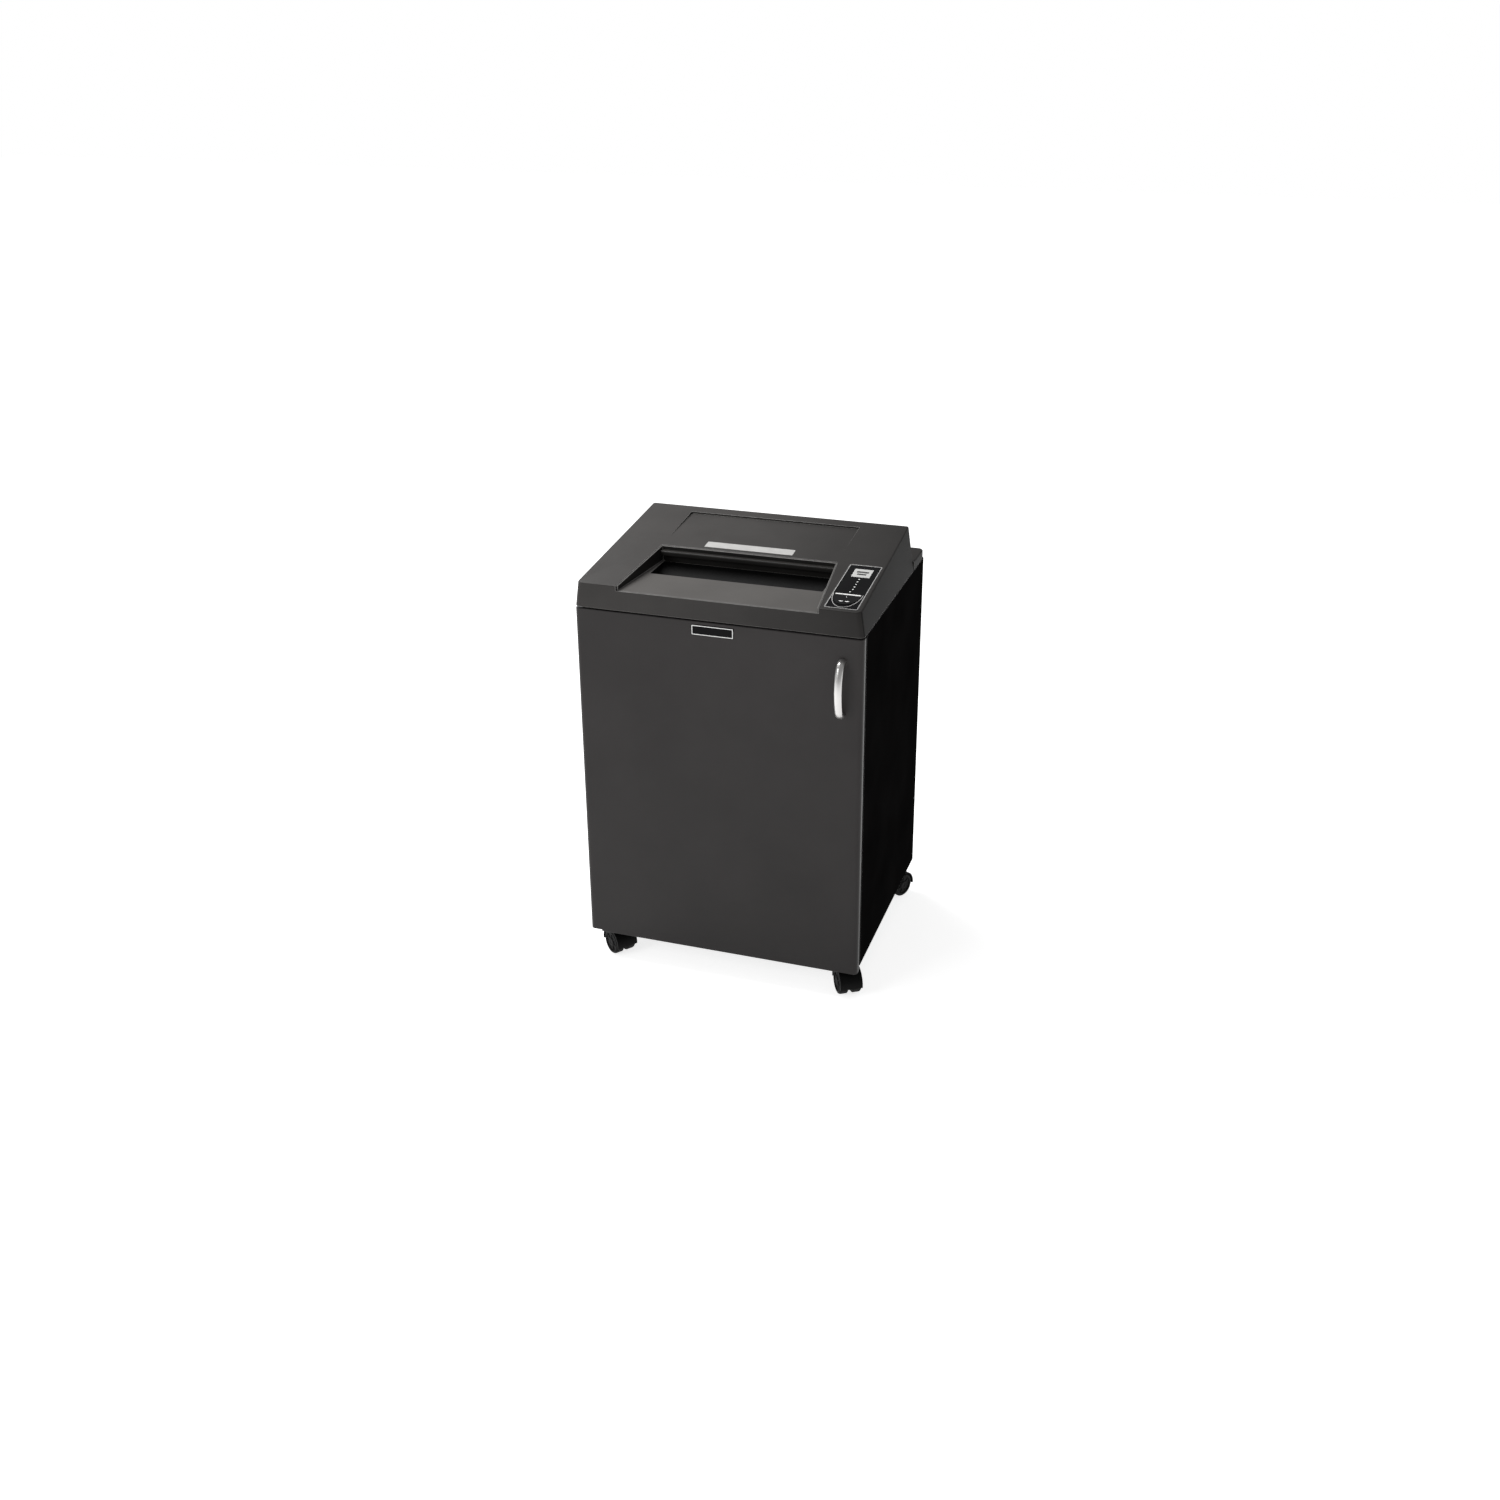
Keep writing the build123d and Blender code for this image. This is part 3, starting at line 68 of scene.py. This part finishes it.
# ---------------------------------------------------------------- materials
def surface(name, color, roughness, grain=0.0, grain_mm=1.0, mottle=0.12, mottle_mm=60.0, stretch=(1, 1, 1),
            metallic=0.0, specular=0.2, rough_spread=0.08, painted_shade=None):
    """Material with slow colour mottling, a fine moulded or brushed grain and uneven gloss.

    The last argument holds an axis, two places along it in metres and the share of the colour left at the first;
    it paints shade, darkening the colour towards the first place.
    """
    made = bpy.data.materials.new(name)
    made.use_nodes = True
    tree = made.node_tree
    shader = tree.nodes["Principled BSDF"]
    shader.inputs["Metallic"].default_value = metallic
    shader.inputs["Specular IOR Level"].default_value = specular
    place = tree.nodes.new("ShaderNodeTexCoord")
    scaled = tree.nodes.new("ShaderNodeMapping")
    scaled.inputs["Scale"].default_value = stretch
    tree.links.new(place.outputs["Object"], scaled.inputs["Vector"])

    slow = tree.nodes.new("ShaderNodeTexNoise")
    slow.inputs["Scale"].default_value = 1 / (mottle_mm * MM)
    slow.inputs["Detail"].default_value = 4.0
    tree.links.new(place.outputs["Object"], slow.inputs["Vector"])
    tint = tree.nodes.new("ShaderNodeValToRGB")
    tint.color_ramp.elements[0].position = WIDE_NOISE[0]
    tint.color_ramp.elements[1].position = WIDE_NOISE[1]
    tint.color_ramp.elements[0].color = [c * (1 - mottle) for c in color] + [1]
    tint.color_ramp.elements[1].color = [min(1.0, c * (1 + mottle)) for c in color] + [1]
    tree.links.new(slow.outputs["Fac"], tint.inputs["Fac"])

    fine = tree.nodes.new("ShaderNodeTexNoise")
    fine.inputs["Scale"].default_value = 1 / (grain_mm * MM)
    fine.inputs["Detail"].default_value = 3.0
    fine.inputs["Roughness"].default_value = 0.6
    tree.links.new(scaled.outputs["Vector"], fine.inputs["Vector"])
    # Painted shade: the colour is scaled down along one axis.
    if painted_shade:
        axis, dim_place, full_place, share = painted_shade
        split = tree.nodes.new("ShaderNodeSeparateXYZ")
        rise = tree.nodes.new("ShaderNodeMapRange")
        rise.inputs["From Min"].default_value = dim_place
        rise.inputs["From Max"].default_value = full_place
        rise.inputs["To Min"].default_value = share
        dimmed = tree.nodes.new("ShaderNodeVectorMath")
        dimmed.operation = "SCALE"
        tree.links.new(place.outputs["Object"], split.inputs["Vector"])
        tree.links.new(split.outputs[axis], rise.inputs["Value"])
        tree.links.new(tint.outputs["Color"], dimmed.inputs[0])
        tree.links.new(rise.outputs["Result"], dimmed.inputs["Scale"])
        tree.links.new(dimmed.outputs["Vector"], shader.inputs["Base Color"])
    else:
        tree.links.new(tint.outputs["Color"], shader.inputs["Base Color"])

    gloss = tree.nodes.new("ShaderNodeMapRange")
    gloss.inputs["To Min"].default_value = max(SMOOTHEST, roughness - rough_spread)
    gloss.inputs["To Max"].default_value = min(1.0, roughness + rough_spread)
    tree.links.new(fine.outputs["Fac"], gloss.inputs["Value"])
    tree.links.new(gloss.outputs["Result"], shader.inputs["Roughness"])
    if grain:
        bump = tree.nodes.new("ShaderNodeBump")
        bump.inputs["Strength"].default_value = grain
        bump.inputs["Distance"].default_value = BUMP_MM * MM
        tree.links.new(fine.outputs["Fac"], bump.inputs["Height"])
        tree.links.new(bump.outputs["Normal"], shader.inputs["Normal"])
    return made


# The door's colour is darkened towards its foot as painted shade.
door_board = surface("door_board", (0.0330, 0.0302, 0.0300), 0.40, grain=0.25, grain_mm=0.9,
                     mottle=0.10, mottle_mm=140, specular=0.16, painted_shade=("Z", 0.05, 0.70, 0.62))
# Lighter material for the door's rounded edges: a painted highlight.
door_edge_highlight = surface("door_edge_highlight", (0.15, 0.147, 0.145), 0.30, grain=0.2, grain_mm=0.9, mottle=0.10,
                    mottle_mm=140)
side_board = surface("side_board", (0.0042, 0.0040, 0.0040), 0.42, grain=0.2, grain_mm=0.9, mottle=0.25,
                     mottle_mm=120, specular=0.0)
# Lighter material for the side panels' rounded edges: a painted highlight.
side_edge_highlight = surface("side_edge_highlight", (0.075, 0.073, 0.072), 0.4, grain=0.2, grain_mm=0.9, specular=0.1)
inner_board = surface("inner_board", (0.026, 0.025, 0.025), 0.55, grain=0.2, grain_mm=1.2)
# The cover's colour is darkened towards its right side as painted shade.
cover_plastic = surface("cover_plastic", (0.047, 0.0445, 0.043), 0.46, grain=0.35, grain_mm=0.7,
                        mottle=0.08, mottle_mm=90, specular=0.09, painted_shade=("X", 0.27, -0.05, 0.55))
# Darker copy of the cover plastic for the covers' upright sides: painted shade.
cover_side_shade = surface("cover_side_shade", (0.013, 0.0125, 0.012), 0.5, grain=0.3, grain_mm=0.7, mottle_mm=90,
                     specular=0.03)
# Lighter material for the rounded edges of the covers and the tray: a painted highlight.
cover_edge_highlight = surface("cover_edge_highlight", (0.17, 0.166, 0.162), 0.34, grain=0.2, grain_mm=0.7, mottle=0.10,
                     mottle_mm=30)
tray_plastic = surface("tray_plastic", (0.088, 0.084, 0.080), 0.42, grain=0.3, grain_mm=0.7,
                       mottle=0.07, mottle_mm=80, specular=0.12)
throat_plastic = surface("throat_plastic", (0.006, 0.006, 0.006), 0.5, grain=0.25, grain_mm=0.8,
                         specular=0.04)
# Dark plastic of the throat bar; also put on the tray's upright sides and throat walls as painted shade.
bar_plastic_and_wall_shade = surface("bar_plastic_and_wall_shade", (0.020, 0.019, 0.018), 0.4, grain=0.2, grain_mm=0.8, specular=0.1)
# Lighter material for the throat bar's rounded edges: a painted highlight.
bar_edge_highlight = surface("bar_edge_highlight", (0.09, 0.088, 0.086), 0.34, grain=0.2, grain_mm=0.7)
bezel_gloss = surface("bezel_gloss", (0.005, 0.005, 0.0055), 0.14, grain=0.03, grain_mm=4.0, mottle=0.2,
                      specular=0.05, rough_spread=0.04)
rocker_gloss = surface("rocker_gloss", (0.008, 0.008, 0.0085), 0.18, grain=0.03, grain_mm=3.0,
                       specular=0.08, rough_spread=0.05)
caster_plastic = surface("caster_plastic", (0.004, 0.004, 0.004), 0.42, grain=0.3, grain_mm=0.8,
                         specular=0.06)
tread_rubber = surface("tread_rubber", (0.0045, 0.0045, 0.0045), 0.55, grain=0.5, grain_mm=0.6,
                       specular=0.08)
satin_metal = surface("satin_metal", (0.60, 0.59, 0.58), 0.30, grain=0.2, grain_mm=0.35,
                      stretch=(1, 1, 0.04), metallic=0.92, mottle=0.05)
zinc = surface("zinc", (0.52, 0.53, 0.55), 0.38, grain=0.25, grain_mm=0.8, metallic=1.0, mottle=0.10,
               mottle_mm=9)
machined = surface("machined", (0.46, 0.46, 0.47), 0.30, grain=0.3, grain_mm=0.5, stretch=(0.1, 1, 1),
                   metallic=1.0)
bronze = surface("bronze", (0.55, 0.36, 0.16), 0.4, grain=0.3, grain_mm=0.7, metallic=1.0)
motor_paint = surface("motor_paint", (0.035, 0.036, 0.040), 0.4, grain=0.3, grain_mm=1.4)
white_print = surface("white_print", (0.78, 0.78, 0.77), 0.5, grain=0.1, grain_mm=0.8, mottle=0.03)
grey_strip = surface("grey_strip", (0.44, 0.435, 0.425), 0.36, grain=0.12, grain_mm=0.9, mottle=0.06,
                     mottle_mm=14)
trim_grey = surface("trim_grey", (0.52, 0.515, 0.51), 0.35, grain=0.1, grain_mm=0.8, mottle=0.05,
                    mottle_mm=12)
plate_print = surface("plate_print", (0.50, 0.50, 0.49), 0.5, grain=0.1, grain_mm=0.8, mottle=0.03)
dark_print = surface("dark_print", (0.05, 0.05, 0.05), 0.5, mottle=0.1)
lens_clear = surface("lens_clear", (0.72, 0.74, 0.72), 0.2, mottle=0.04)
board_green = surface("board_green", (0.03, 0.16, 0.07), 0.45, grain=0.3, grain_mm=1.1, mottle=0.2,
                      mottle_mm=6)
bin_plastic = surface("bin_plastic", (0.035, 0.036, 0.038), 0.48, grain=0.35, grain_mm=0.8)

finishes = {
    door_board: "door_panel",
    side_board: "left_side_panel right_side_panel back_panel",
    inner_board: "base_panel machine_shelf front_rail",
    cover_plastic: "head_cover rear_deck_cover",
    tray_plastic: "feed_tray",
    throat_plastic: "throat_guide paper_sensor interlock_switch interlock_plunger master_switch_frame "
                    "power_inlet master_switch magnet_catch front_stripper rear_stripper",
    bar_plastic_and_wall_shade: "throat_bar",
    bezel_gloss: "control_bezel door_badge",
    rocker_gloss: "start_rocker",
    satin_metal: "door_handle handle_screws strike_plate",
    zinc: "corner_brackets wood_screws caster_plates lower_hinge upper_hinge inlet_plate left_frame_plate "
          "right_frame_plate tie_rods gear_plate discharge_chute",
    machined: "front_cutter rear_cutter countershaft motor_rotor",
    bronze: "shaft_bushes",
    motor_paint: "motor_housing motor_capacitor",
    white_print: "status_bar",
    plate_print: "display_plate",
    grey_strip: "plain_strip",
    lens_clear: "indicator_lenses",
    board_green: "control_board",
    bin_plastic: "waste_bin",
    caster_plastic: " ".join(name for name in nodes if name.startswith("caster_hood_")),
    tread_rubber: " ".join(name for name in nodes if name.startswith("caster_wheels_")),
}
for finish, names in finishes.items():
    for name in names.split():
        slots = nodes[name].data.materials
        slots.clear()
        slots.append(finish)

bodies = frame["record"]["behaviour"]["bodies"]
body_of_node = {node: body for body, members in bodies.items() for node in members}


# ---------------------------------------------------------------- mesh helpers
def finished(obj, material, body, stands_for=()):
    """Gives a new piece its material and body, and hides the nodes it stands for."""
    obj.data.materials.clear()
    obj.data.materials.append(material)
    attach(obj, body)
    if stands_for:
        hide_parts(*stands_for)
    return obj


def mesh_object(name, build):
    """Object from a function that fills a bmesh."""
    mesh = bpy.data.meshes.new(name)
    work = bmesh.new()
    build(work)
    bmesh.ops.recalc_face_normals(work, faces=work.faces)
    work.to_mesh(mesh)
    work.free()
    obj = bpy.data.objects.new(name, mesh)
    scene.collection.objects.link(obj)
    return obj


def shade(obj, angle=35):
    """Smooth shading that keeps edges sharper than angle degrees."""
    for polygon in obj.data.polygons:
        polygon.use_smooth = True
    work = bmesh.new()
    work.from_mesh(obj.data)
    for edge in work.edges:
        edge.smooth = len(edge.link_faces) == 2 and edge.calc_face_angle(0) < math.radians(angle)
    work.to_mesh(obj.data)
    work.free()


def softened(name, width_mm, material, edge_material=None, side_material=None, clamp=True,
             segments=2, angle=30):
    """Copy of a CAD node that stands for it, with its edges rounded.

    The rounded edges may take a lighter material as a painted highlight, and the upright side faces a darker one
    as painted shade.
    """
    piece = bpy.data.objects.new(f"{name}_soft", nodes[name].data.copy())
    scene.collection.objects.link(piece)
    finished(piece, material, body_of_node[name], [name])
    piece.data.materials.append(edge_material or material)
    piece.data.materials.append(side_material or material)
    work = bmesh.new()
    work.from_mesh(piece.data)
    bmesh.ops.remove_doubles(work, verts=work.verts, dist=WELD_MM * MM)
    bmesh.ops.dissolve_limit(work, angle_limit=math.radians(FLAT_DEGREES), verts=work.verts,
                             edges=work.edges)
    for edge in work.edges:
        edge.smooth = True
    for face in work.faces:
        face.smooth = True
        # Upright side faces take the side material; for the covers and tray this is painted shade.
        if abs(face.normal.x) > SIDE_FACE:
            face.material_index = SIDE_SLOT
    work.to_mesh(piece.data)
    work.free()
    if piece.data.has_custom_normals:
        bpy.context.view_layer.objects.active = piece
        bpy.ops.mesh.customdata_custom_splitnormals_clear()
    rounding = piece.modifiers.new("edges", "BEVEL")
    rounding.width = width_mm * MM
    rounding.segments = segments
    rounding.limit_method = "ANGLE"
    rounding.angle_limit = math.radians(angle)
    rounding.use_clamp_overlap = clamp
    rounding.harden_normals = True
    # Bevel faces take the edge material, a painted highlight where it is lighter.
    rounding.material = EDGE_SLOT
    return piece


# ---------------------------------------------------------------- camera
AZIMUTH = math.radians(18.56)
ELEVATION = math.radians(23.50)
ROLL = math.radians(-0.41)
FOCAL = 1683.2
EYE = Vector((0.9448, -2.8360, 1.8202))
SHIFT = -0.04
back = Vector((math.sin(AZIMUTH) * math.cos(ELEVATION), -math.cos(AZIMUTH) * math.cos(ELEVATION),
               math.sin(ELEVATION)))
level = Vector((math.cos(AZIMUTH), math.sin(AZIMUTH), 0))
rise = back.cross(level)
turned_right = level * math.cos(ROLL) + rise * math.sin(ROLL)
turned_up = rise * math.cos(ROLL) - level * math.sin(ROLL)
camera = bpy.data.objects.new("camera", bpy.data.cameras.new("camera"))
camera.data.sensor_width = 36.0
camera.data.lens = 36.0 * FOCAL / 1500
camera.data.shift_y = SHIFT
camera.data.clip_end = 50
turn = Matrix((turned_right, turned_up, back)).transposed().to_4x4()
camera.matrix_world = Matrix.Translation(EYE) @ turn
scene.collection.objects.link(camera)
scene.camera = camera

# ---------------------------------------------------------------- light and floor
world = bpy.data.worlds.new("studio")
world.use_nodes = True
sky = world.node_tree
dim = sky.nodes["Background"]
dim.inputs["Color"].default_value = (1, 1, 1, 1)
dim.inputs["Strength"].default_value = 0.30
paper = sky.nodes.new("ShaderNodeBackground")
paper.inputs["Color"].default_value = (1, 1, 1, 1)
paper.inputs["Strength"].default_value = 1.0
seen = sky.nodes.new("ShaderNodeLightPath")
either = sky.nodes.new("ShaderNodeMixShader")
sky.links.new(seen.outputs["Is Camera Ray"], either.inputs["Fac"])
sky.links.new(dim.outputs["Background"], either.inputs[1])
sky.links.new(paper.outputs["Background"], either.inputs[2])
sky.links.new(either.outputs["Shader"], sky.nodes["World Output"].inputs["Surface"])
scene.world = world
scene.view_settings.view_transform = "Standard"


def lamp(name, place, target, size, power):
    """Square soft light at place, turned to target."""
    data = bpy.data.lights.new(name, "AREA")
    data.energy = power
    data.size = size
    obj = bpy.data.objects.new(name, data)
    obj.location = place
    obj.rotation_euler = (Vector(target) - Vector(place)).to_track_quat("-Z", "Y").to_euler()
    scene.collection.objects.link(obj)


lamp("overhead_left", (-1.3, 0.5, 2.9), (0, 0, 0.6), 1.8, 95)
lamp("front_left", (-2.2, -3.2, 2.4), (0, 0, 0.5), 1.6, 34)


def floor_sheet(work):
    """Flat floor far wider than the object."""
    signs = ((-1, -1), (1, -1), (1, 1), (-1, 1))
    work.faces.new([work.verts.new((x * FLOOR_REACH, y * FLOOR_REACH, FLOOR_LEVEL)) for x, y in signs])


floor = mesh_object("floor", floor_sheet)
floor_paper = surface("floor_paper", (0.80, 0.80, 0.80), 0.8, mottle=0.005, mottle_mm=900, specular=0.0)
floor_paper.node_tree.nodes["Principled BSDF"].inputs["Emission Color"].default_value = (1, 1, 1, 1)
floor_paper.node_tree.nodes["Principled BSDF"].inputs["Emission Strength"].default_value = 0.78
floor.data.materials.append(floor_paper)

# ---------------------------------------------------------------- softened housings
# The covers' rounded edges take a painted highlight and their upright sides painted shade.
softened("head_cover", 0.6, cover_plastic, cover_edge_highlight, cover_side_shade, clamp=False)
softened("rear_deck_cover", 0.8, cover_plastic, cover_edge_highlight, cover_side_shade)
# The tray's rounded edges take a painted highlight and its upright sides painted shade.
tray = softened("feed_tray", 0.9, tray_plastic, cover_edge_highlight, bar_plastic_and_wall_shade)
tray_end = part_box("feed_tray")[0][1] + TRAY_FLOOR_MM * MM
# The throat walls behind the tray floor take the darker material too, as painted shade.
for polygon in tray.data.polygons:
    if polygon.center.y > tray_end and polygon.normal.z < LEVEL_FACE:
        polygon.material_index = SIDE_SLOT
# The lighter edge materials of the door, throat bar and side panels are painted highlights.
for name, width, finish, edge_finish in (
    ("door_panel", 0.6, door_board, door_edge_highlight),
    ("throat_bar", 0.6, bar_plastic_and_wall_shade, bar_edge_highlight),
    ("control_bezel", 0.5, bezel_gloss, bezel_gloss),
    ("left_side_panel", 0.8, side_board, side_edge_highlight),
    ("right_side_panel", 0.8, side_board, side_edge_highlight),
    ("waste_bin", 0.8, bin_plastic, bin_plastic),
    ("master_switch_frame", 0.4, throat_plastic, throat_plastic),
    ("power_inlet", 0.4, throat_plastic, throat_plastic),
    ("discharge_chute", 0.4, zinc, zinc),
):
    softened(name, width, finish, edge_finish)

# ---------------------------------------------------------------- the lid's own plane
# Local x runs to the right, local y up the slope from the front edge, level along the normal.
along = Vector(joints["start_rock"]["axis"]).normalized()
normal = Vector((1, 0, 0)).cross(along)
lid_level = min(normal.dot(vertex.co) for vertex in nodes["plain_strip"].data.vertices)
cover_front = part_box("head_cover")[0][1]
lid_origin = Vector((0, cover_front, (lid_level - normal.y * cover_front) / normal.z))


def on_lid(x, y, level):
    """Point of the lid plane, from millimetres along it and above it."""
    return lid_origin + (Vector((1, 0, 0)) * x + along * y + normal * level) * MM


def lid_place(name):
    """Middle, half width and half length of a node on the lid plane, and its top level, in millimetres."""
    points = [vertex.co - lid_origin for vertex in nodes[name].data.vertices]
    xs = [point.x / MM for point in points]
    ys = [along.dot(point) / MM for point in points]
    top = max(normal.dot(point) for point in points) / MM
    return ((min(xs) + max(xs)) / 2, (min(ys) + max(ys)) / 2,
            (max(xs) - min(xs)) / 2, (max(ys) - min(ys)) / 2, top)


# ---------------------------------------------------------------- flat printed and moulded marks
def rounded_rectangle(half_x, half_y, corner, steps=5):
    """Outline of a rectangle with round corners about the origin."""
    points = []
    for quarter, (sx, sy) in enumerate(((1, 1), (-1, 1), (-1, -1), (1, -1))):
        for step in range(steps + 1):
            angle = math.radians(90 * (quarter + step / steps))
            points.append((sx * (half_x - corner) + corner * math.cos(angle),
                           sy * (half_y - corner) + corner * math.sin(angle)))
    return points


def slab(work, outline, place, low, high):
    """Closed plate between two levels; place turns outline points and a level into a 3-D point."""
    lower = [work.verts.new(place(x, y, low)) for x, y in outline]
    upper = [work.verts.new(place(x, y, high)) for x, y in outline]
    work.faces.new(lower)
    work.faces.new(upper)
    for index in range(len(outline)):
        after = (index + 1) % len(outline)
        work.faces.new((lower[index], lower[after], upper[after], upper[index]))


def band(work, outer, inner, place, low, high, closed=True):
    """Flat ring, or strip if not closed, between two outlines of as many points."""
    rows = [[work.verts.new(place(x, y, level)) for x, y in points]
            for points, level in ((outer, low), (inner, low), (inner, high), (outer, high))]
    count = len(outer)
    for index in range(count if closed else count - 1):
        after = (index + 1) % count
        for row in range(4):
            near, far = rows[row], rows[(row + 1) % 4]
            work.faces.new((near[index], near[after], far[after], far[index]))
    if not closed:
        work.faces.new([row[0] for row in rows])
        work.faces.new([row[-1] for row in rows])


def shifted(points, x, y):
    """Outline moved by x and y."""
    return [(px + x, py + y) for px, py in points]


bezel_x, bezel_y, bezel_half_x, bezel_half_y, _ = lid_place("control_bezel")
BEZEL_MARGIN = 3.8  # from the bezel's outline to the control panel's
BEZEL_TOP = -0.6  # level of the bezel's face, in millimetres from the lid plane
control_half_x = bezel_half_x - BEZEL_MARGIN
control_half_y = bezel_half_y - BEZEL_MARGIN


def trim_outline(inset):
    """Control panel's outline, drawn in by inset."""
    return shifted(rounded_rectangle(control_half_x - inset, control_half_y - inset, 3.0 - inset * 0.5),
                   bezel_x, bezel_y)


def panel_trim(work):
    """Thin light line moulded round the control panel."""
    band(work, trim_outline(0.5), trim_outline(1.5), on_lid, BEZEL_TOP - 0.3, BEZEL_TOP + 0.35)


finished(mesh_object("panel_trim", panel_trim), trim_grey, "cabinet")

display_x, display_y, display_half_x, display_half_y, display_top = lid_place("display_plate")


def display_rows(work):
    """Two plain dark bars on the light plate."""
    for row, share in ((0.26, 0.66), (-0.30, 0.50)):
        bar = rounded_rectangle(display_half_x * share, display_half_y * 0.17, 0.8)
        slab(work, shifted(bar, display_x, display_y + row * display_half_y), on_lid, display_top - 0.1,
             display_top + 0.08)


finished(mesh_object("display_rows", display_rows), dark_print, "cabinet")

rocker_x, rocker_y, rocker_half_x, rocker_half_y, rocker_top = lid_place("start_rocker")
moon_back = rocker_y + rocker_half_y


def half_ellipse(grow, steps=40):
    """Front half of an ellipse about the middle of the rocker's back edge."""
    turns = [math.pi * step / steps for step in range(steps + 1)]
    return [(rocker_x - (rocker_half_x + grow) * math.cos(turn),
             moon_back - (2 * rocker_half_y + grow) * math.sin(turn)) for turn in turns]


def rocker_ring(work):
    """Light line in the panel, round the front of the half-moon rocker."""
    band(work, half_ellipse(2.2), half_ellipse(1.2), on_lid, BEZEL_TOP - 0.3, BEZEL_TOP + 0.3,
         closed=False)


finished(mesh_object("rocker_ring", rocker_ring), trim_grey, "cabinet")


def rocker_marks(work):
    """A dot and two plain leaf-shaped marks on the rocker."""
    low, high = rocker_top - 0.3, rocker_top + PRINT_MM
    dot_radius, dot_steps = 1.1, 16
    turns = [math.tau * step / dot_steps for step in range(dot_steps)]
    dot = [(dot_radius * math.cos(turn), dot_radius * math.sin(turn)) for turn in turns]
    slab(work, shifted(dot, rocker_x, moon_back - 0.28 * 2 * rocker_half_y), on_lid, low, high)
    leaf_start, leaf_length, leaf_steps = 1.2, 8.6, 12
    shares = [step / leaf_steps for step in range(leaf_steps + 1)]
    outline = [(share, 1.7) for share in shares] + [(share, -1.5) for share in shares[-2:0:-1]]
    for way in (-1, 1):
        leaf = [(way * (leaf_start + leaf_length * share), bulge * math.sin(math.pi * share) ** 0.8)
                for share, bulge in outline]
        slab(work, shifted(leaf, rocker_x, moon_back - 0.62 * 2 * rocker_half_y), on_lid, low, high)


finished(mesh_object("rocker_marks", rocker_marks), white_print, "start_rocker")

badge_low, badge_high = (Vector(corner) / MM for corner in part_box("door_badge"))
badge_x, badge_z = (badge_low.x + badge_high.x) / 2, (badge_low.z + badge_high.z) / 2
badge_half_x, badge_half_z = (badge_high.x - badge_low.x) / 2, (badge_high.z - badge_low.z) / 2


def on_badge(x, z, level):
    """Point on the badge's front, level in front of it."""
    return Vector((badge_x + x, badge_low.y - level, badge_z + z)) * MM


def badge_frame(work):
    """Thin light frame near the badge's edge; the field inside stays bare."""
    band(work, rounded_rectangle(badge_half_x - 1.0, badge_half_z - 1.0, 1.2),
         rounded_rectangle(badge_half_x - 2.5, badge_half_z - 2.5, 0.6), on_badge, -0.2, 0.12)


finished(mesh_object("badge_frame", badge_frame), white_print, "door")

# ---------------------------------------------------------------- caster wheels
WHEEL_STEPS = 56
WHEEL_RIBS = 7


def lathed(work, profile, centre, axis, side):
    """Solid of revolution; profile holds (distance along the axis, radius) in millimetres."""
    upright = Vector((0, 0, 1))
    across = axis.cross(upright)
    rings = []
    for out, radius in profile:
        middle = centre + axis * (side * out * MM)
        if radius == 0:
            rings.append([work.verts.new(middle)])
            continue
        spokes = [upright * math.cos(turn) + across * math.sin(turn)
                  for turn in (math.tau * step / WHEEL_STEPS for step in range(WHEEL_STEPS))]
        rings.append([work.verts.new(middle + spoke * radius * MM) for spoke in spokes])
    for near, far in zip(rings, rings[1:]):
        for step in range(WHEEL_STEPS):
            after = (step + 1) % WHEEL_STEPS
            corners = [near[step % len(near)], near[after % len(near)],
                       far[after % len(far)], far[step % len(far)]]
            work.faces.new(list(dict.fromkeys(corners)))


def arc(middle_out, middle_radius, reach, start, end, steps=5):
    """Round corner of a lathe profile."""
    return [(middle_out + reach * math.cos(math.radians(start + (end - start) * step / steps)),
             middle_radius + reach * math.sin(math.radians(start + (end - start) * step / steps)))
            for step in range(steps + 1)]


def wheel_pair(place):
    """Two wheels of one caster, with rounded treads, dished sides, ribs and hub caps."""
    joint = joints[f"roll_{place}"]
    axle = Vector(joint["pos_m"])
    axis = Vector(joint["axis"]).normalized()
    radius = axle.z / MM
    inner, outer = 5.0, 22.0
    profile = [(inner, 0), (inner, radius - 1.2), (inner + 1.2, radius)]
    profile += arc(outer - 4.5, radius - 4.5, 4.5, 90, 0)
    profile += [(outer, radius - 6.0), (outer - 0.5, radius - 6.6)]
    profile += [(outer - 1.9, radius - 7.4), (outer - 2.0, 9.2)]
    profile += [(outer - 0.6, 8.4), (outer - 0.2, 7.6), (outer - 0.1, 4.0)]
    profile += [(outer - 0.4, 3.4), (outer - 0.4, 0)]

    def build(work):
        for side in (-1, 1):
            lathed(work, profile, axle, axis, side)
            for rib in range(WHEEL_RIBS):
                angle = math.tau * rib / WHEEL_RIBS
                upright = Vector((0, 0, 1))
                spoke = upright * math.cos(angle) + axis.cross(upright) * math.sin(angle)
                flank = axis.cross(spoke) * (0.8 * MM)
                corners = []
                for out in (outer - 2.4, outer - 0.9):
                    for reach, way in ((8.8, -1), (radius - 7.0, -1), (radius - 7.0, 1), (8.8, 1)):
                        corner = axle + axis * (side * out * MM) + spoke * (reach * MM) + flank * way
                        corners.append(work.verts.new(corner))
                work.faces.new(corners[:4])
                work.faces.new(corners[4:])
                for index in range(4):
                    after = (index + 1) % 4
                    work.faces.new((corners[index], corners[after],
                                    corners[4 + after], corners[4 + index]))

    piece = mesh_object(f"wheel_pair_{place}", build)
    shade(piece, 38)
    return finished(piece, tread_rubber, f"wheels_{place}", [f"caster_wheels_{place}"])


for place in ("front_left", "front_right", "back_left", "back_right"):
    wheel_pair(place)
    softened(f"caster_hood_{place}", 0.9, caster_plastic, segments=3)
